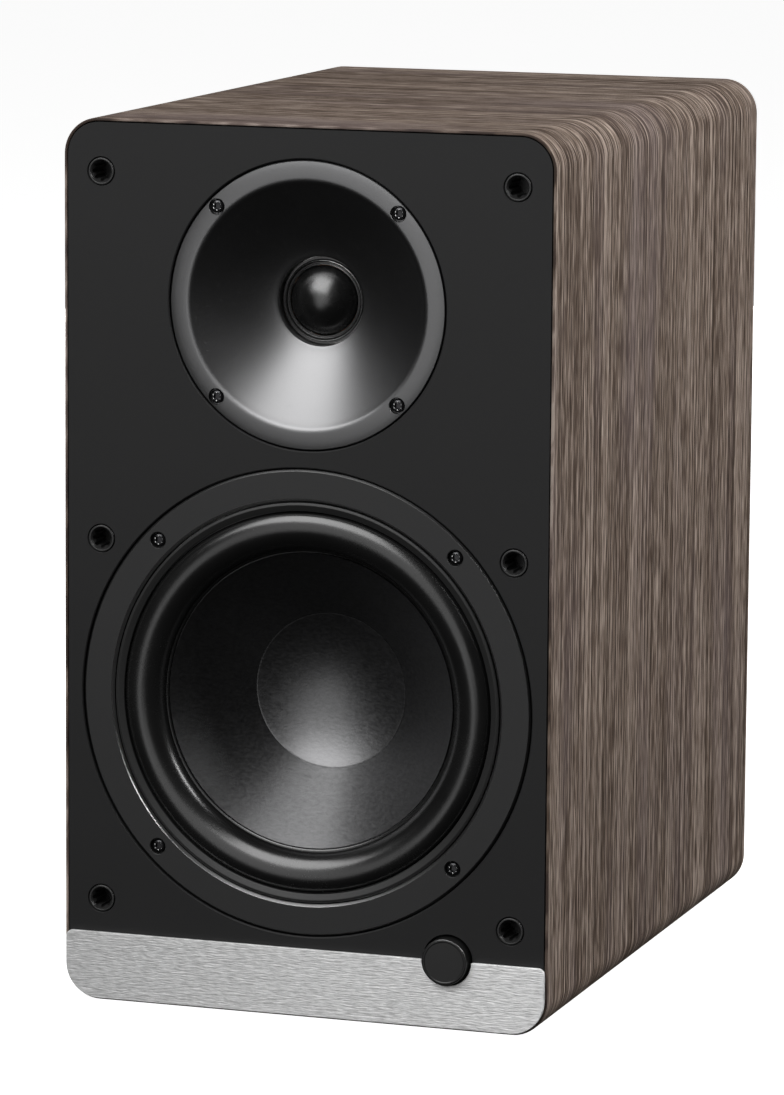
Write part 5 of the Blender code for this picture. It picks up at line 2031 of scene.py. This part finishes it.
@dataclass
class MainsSection:
    """The mains inlet and the rocker beside it."""

    recess: tuple[float, float] = (0.0240, 0.0165)
    recess_x: float = -0.0105
    chamfer: float = 0.0038
    pins: tuple[Point, ...] = ((0.0, 0.0040), (-0.0070, 0.0), (0.0070, 0.0))
    pivot: float = 0.2045
    tilt: float = 12.0
    half_width: float = 0.0058
    reach: float = 0.0092
    rise: float = 0.0034
    dip: float = 0.0017

    def build(self) -> None:
        """Builds the inlet and the rocker."""
        self.build_inlet()
        self.build_rocker()

    def build_inlet(self) -> None:
        """The moulding: a flange, a body, a recess with three pins and the rocker's well."""
        spot, plate = Spot.of("mains_inlet"), Spot.of("amp_plate")
        face, z = spot.back, spot.middle.z
        low, high = (spot.low.x, plate.back + 0.0003, spot.low.z), (spot.high.x, face, spot.high.z)
        piece = Piece.board("mains_inlet_moulding", low, high, 0.003, 6)
        piece.pick(Part.FACES, faces_front).inset(0.0026)
        piece.extrude((0, spot.front - plate.back - 0.0003, 0))
        piece.weld()
        wide, tall = self.recess[0] / 2, self.recess[1] / 2
        low = (self.recess_x - wide, face - 0.0165, z - tall)
        high = (self.recess_x + wide, face + CLEAR, z + tall)
        hollow = Piece.block("recess", low, high)
        hollow.pick(Part.EDGES, lambda edge: along_depth(edge) and edge.verts[0].co.z > z)
        hollow.bevel(self.chamfer, 1)
        hollow.pick(Part.EDGES, lambda edge: along_depth(edge) and edge.verts[0].co.z < z)
        hollow.bevel(0.0012, 4)
        hollow.weld()
        well = Spot.of("power_rocker").middle
        low = (well.x - 0.0063, face - 0.0140, z - 0.0106)
        high = (well.x + 0.0063, face + CLEAR, z + 0.0106)
        piece.cut(hollow, Piece.board("well", low, high, 0.0008, 3))
        piece.ease(0.0003, 3).paint(MOULDED_BLACK)
        for dx, dz in self.pins:
            x, middle = self.recess_x + dx, z + dz
            pin = Piece.block(
                "pin",
                (x - 0.0010, face - 0.0175, middle - 0.0020),
                (x + 0.0010, face - 0.0040, middle + 0.0020),
            )
            piece.join(pin.ease(0.0005, 3).paint(ZINC))
        piece.fit("cabinet", "satin_plastic", "mains_inlet")

    def build_rocker(self) -> None:
        """The rocker: a dished button with moulded on and off marks, tipped on its pivot."""
        spot = Spot.of("power_rocker")
        x, z = spot.middle.x, Spot.of("mains_inlet").middle.z
        half, reach, rise, dip = self.half_width, self.reach, self.rise, self.dip
        low, high = (x - half, self.pivot - 0.0055, z - reach), (x + half, self.pivot + rise, z + reach)
        piece = Piece.block("power_rocker_button", low, high)
        foot = FRONT + self.pivot - 0.0054

        def level_at_foot(edge: Any) -> bool:
            """Whether an edge is level and at the foot of the button."""
            start, end = (vertex.co for vertex in edge.verts)
            return start.y < foot and end.y < foot and abs(start.z - end.z) < TOUCH

        piece.pick(Part.EDGES, level_at_foot).bevel(0.0040, 1)
        piece.weld()
        radius = (reach**2 + (rise - dip) ** 2) / (2 * (rise - dip))
        deselect_all()
        bpy.ops.mesh.primitive_cylinder_add(
            vertices=360,
            radius=radius,
            depth=0.03,
            location=(x, FRONT + self.pivot + dip + radius, z),
            rotation=(0, math.pi / 2, 0),
        )
        piece.cut(Piece("dish")).ease(0.0004, 3, 30).paint(GLOSS_BLACK)
        level = self.pivot + dip + 0.0055**2 / (2 * radius)
        ring = [(0.0011, level - 0.0003), (0.0011, level + 0.00012), (0.0015, level + 0.00012)]
        ring.append((0.0015, level - 0.0003))
        bar = Piece.block(
            "bar", (x - 0.0002, level - 0.0003, z + 0.0041), (x + 0.0002, level + 0.00012, z + 0.0069)
        )
        piece.join(
            Piece.turned("ring", ring, x, z - 0.0055, 32).paint(MOULDED_WHITE),
            bar.ease(0.00005, 1).paint(MOULDED_WHITE),
        )
        piece.activate()
        bpy.ops.transform.rotate(
            value=-math.radians(self.tilt), orient_axis="X", center_override=(x, FRONT + self.pivot, z)
        )
        bpy.ops.object.transform_apply(location=True, rotation=True, scale=True)
        piece.fit("rocker", "gloss_plastic", "power_rocker")


# ---------------------------------------------------------------- the studio
@dataclass(frozen=True)
class Softbox:
    """A rectangular soft light that looks at a point."""

    name: str
    at: tuple[float, float, float]
    target: tuple[float, float, float]
    width: float
    height: float
    power: float

    def build(self) -> None:
        """Adds the light."""
        bpy.ops.object.light_add(type="AREA", location=self.at)
        lamp = bpy.context.view_layer.objects.active
        lamp.name = self.name
        lamp.data.shape = "RECTANGLE"
        lamp.data.size = self.width
        lamp.data.size_y = self.height
        lamp.data.energy = self.power
        lamp.visible_camera = False
        aim = Vector(self.target) - Vector(self.at)
        lamp.rotation_euler = aim.to_track_quat("-Z", "Y").to_euler()


@dataclass
class Studio:
    """Camera, floor and soft lights."""

    eye: tuple[float, float, float] = (0.5108, -1.5456, 0.3757)
    yaw: float = 18.60
    pitch: float = -9.09
    roll: float = 0.42
    lens: float = 188.2
    floor_colour: Colour = (0.80, 0.80, 0.80)
    glow: float = 0.012

    def build(self) -> None:
        """Builds the camera, the lights, the floor and the surroundings."""
        bpy.context.scene.view_settings.view_transform = "Standard"
        turn = Matrix.Rotation(math.radians(self.yaw), 3, "Z")
        turn = turn @ Matrix.Rotation(math.radians(90 + self.pitch), 3, "X")
        turn = turn @ Matrix.Rotation(math.radians(self.roll), 3, "Z")
        bpy.ops.object.camera_add(location=self.eye, rotation=turn.to_euler())
        camera = bpy.context.view_layer.objects.active
        camera.data.lens = self.lens
        camera.data.sensor_fit = "AUTO"
        camera.data.sensor_width = 36.0
        bpy.context.scene.camera = camera
        for light in (
            Softbox("key_light", (-0.31, -0.95, 1.00), (0.0, -0.10, 0.14), 1.02, 0.90, 15.2),
            Softbox("front_light", (-0.32, -1.90, 0.43), (-0.05, -0.10, 0.12), 1.20, 1.30, 5.3),
            Softbox("low_light", (-0.46, -1.90, -0.34), (0.03, -0.10, 0.01), 0.50, 0.36, 0.6),
            Softbox("side_light", (0.80, -0.03, 0.67), (0.07, 0.03, 0.17), 0.45, 0.45, 9.6),
            Softbox("top_light", (0.0, 0.30, 1.20), (0.0, 0.0, 0.20), 0.8, 0.5, 0.2),
            Softbox("back_light", (-0.60, 1.45, -0.02), (0.0, 0.10, 0.10), 1.4, 0.44, 18.0),
            Softbox("left_light", (-1.30, 0.40, -0.02), (0.0, 0.05, 0.10), 1.0, 0.44, 9.0),
        ):
            light.build()
        self.build_floor()
        self.build_world()

    def build_world(self) -> None:
        """A white surround for the camera, with only a dim glow on the speaker."""
        world = bpy.data.worlds.new("surroundings")
        world.use_nodes = True
        nodes, links = world.node_tree.nodes, world.node_tree.links
        background = nodes["Background"]
        background.inputs["Color"].default_value = (1, 1, 1, 1)
        path, level = nodes.new("ShaderNodeLightPath"), nodes.new("ShaderNodeMapRange")
        level.inputs["To Min"].default_value = self.glow
        links.new(path.outputs["Is Camera Ray"], level.inputs["Value"])
        links.new(level.outputs["Result"], background.inputs["Strength"])
        bpy.context.scene.world = world

    def build_floor(self) -> None:
        """The plain pale floor."""
        bpy.ops.mesh.primitive_plane_add(size=60, location=(0, 0, 0))
        floor = bpy.context.view_layer.objects.active
        floor.name = "floor"
        floor.visible_diffuse = floor.visible_glossy = floor.visible_shadow = False
        sheet = Sheet("pale_floor")
        sheet.finish(Base_Color=self.floor_colour, Roughness=0.9, Specular_IOR_Level=0.1)
        sheet.finish(Emission_Color=(1, 1, 1), Emission_Strength=0.94)
        floor.data.materials.append(sheet.material)


# ---------------------------------------------------------------- everything
def dress_node(node: str, finish: Finish) -> None:
    """Gives a node of the frame, shown as it is, a finish.

    Args:
        node: the node's name.
        finish: its finish.
    """
    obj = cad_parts[node]
    obj.data.materials.clear()
    obj.data.materials.append(finish.material())


def main() -> None:
    """Builds the speaker's looks, assembly by assembly."""
    logging.basicConfig(level=logging.INFO, format="%(message)s")
    assemblies = (Cabinet(), FrontTrim(), Tweeter(), Woofer(), VolumeControl())
    rear = (AmplifierPlate(), SignalSockets(), SpeakerPosts(), MainsSection())
    for assembly in (*assemblies, *rear, Studio()):
        log.info("building %s", type(assembly).__name__)
        assembly.build()
    carried = {
        "main_board": CIRCUIT,
        "power_supply": SUPPLY_CIRCUIT,
        "crossover_board": CROSSOVER_CIRCUIT,
        "heat_sink": ALUMINIUM,
    }
    for node, finish in carried.items():
        dress_node(node, finish)


if __name__ == "__main__":
    main()
    deselect_all()
    bpy.context.view_layer.update()
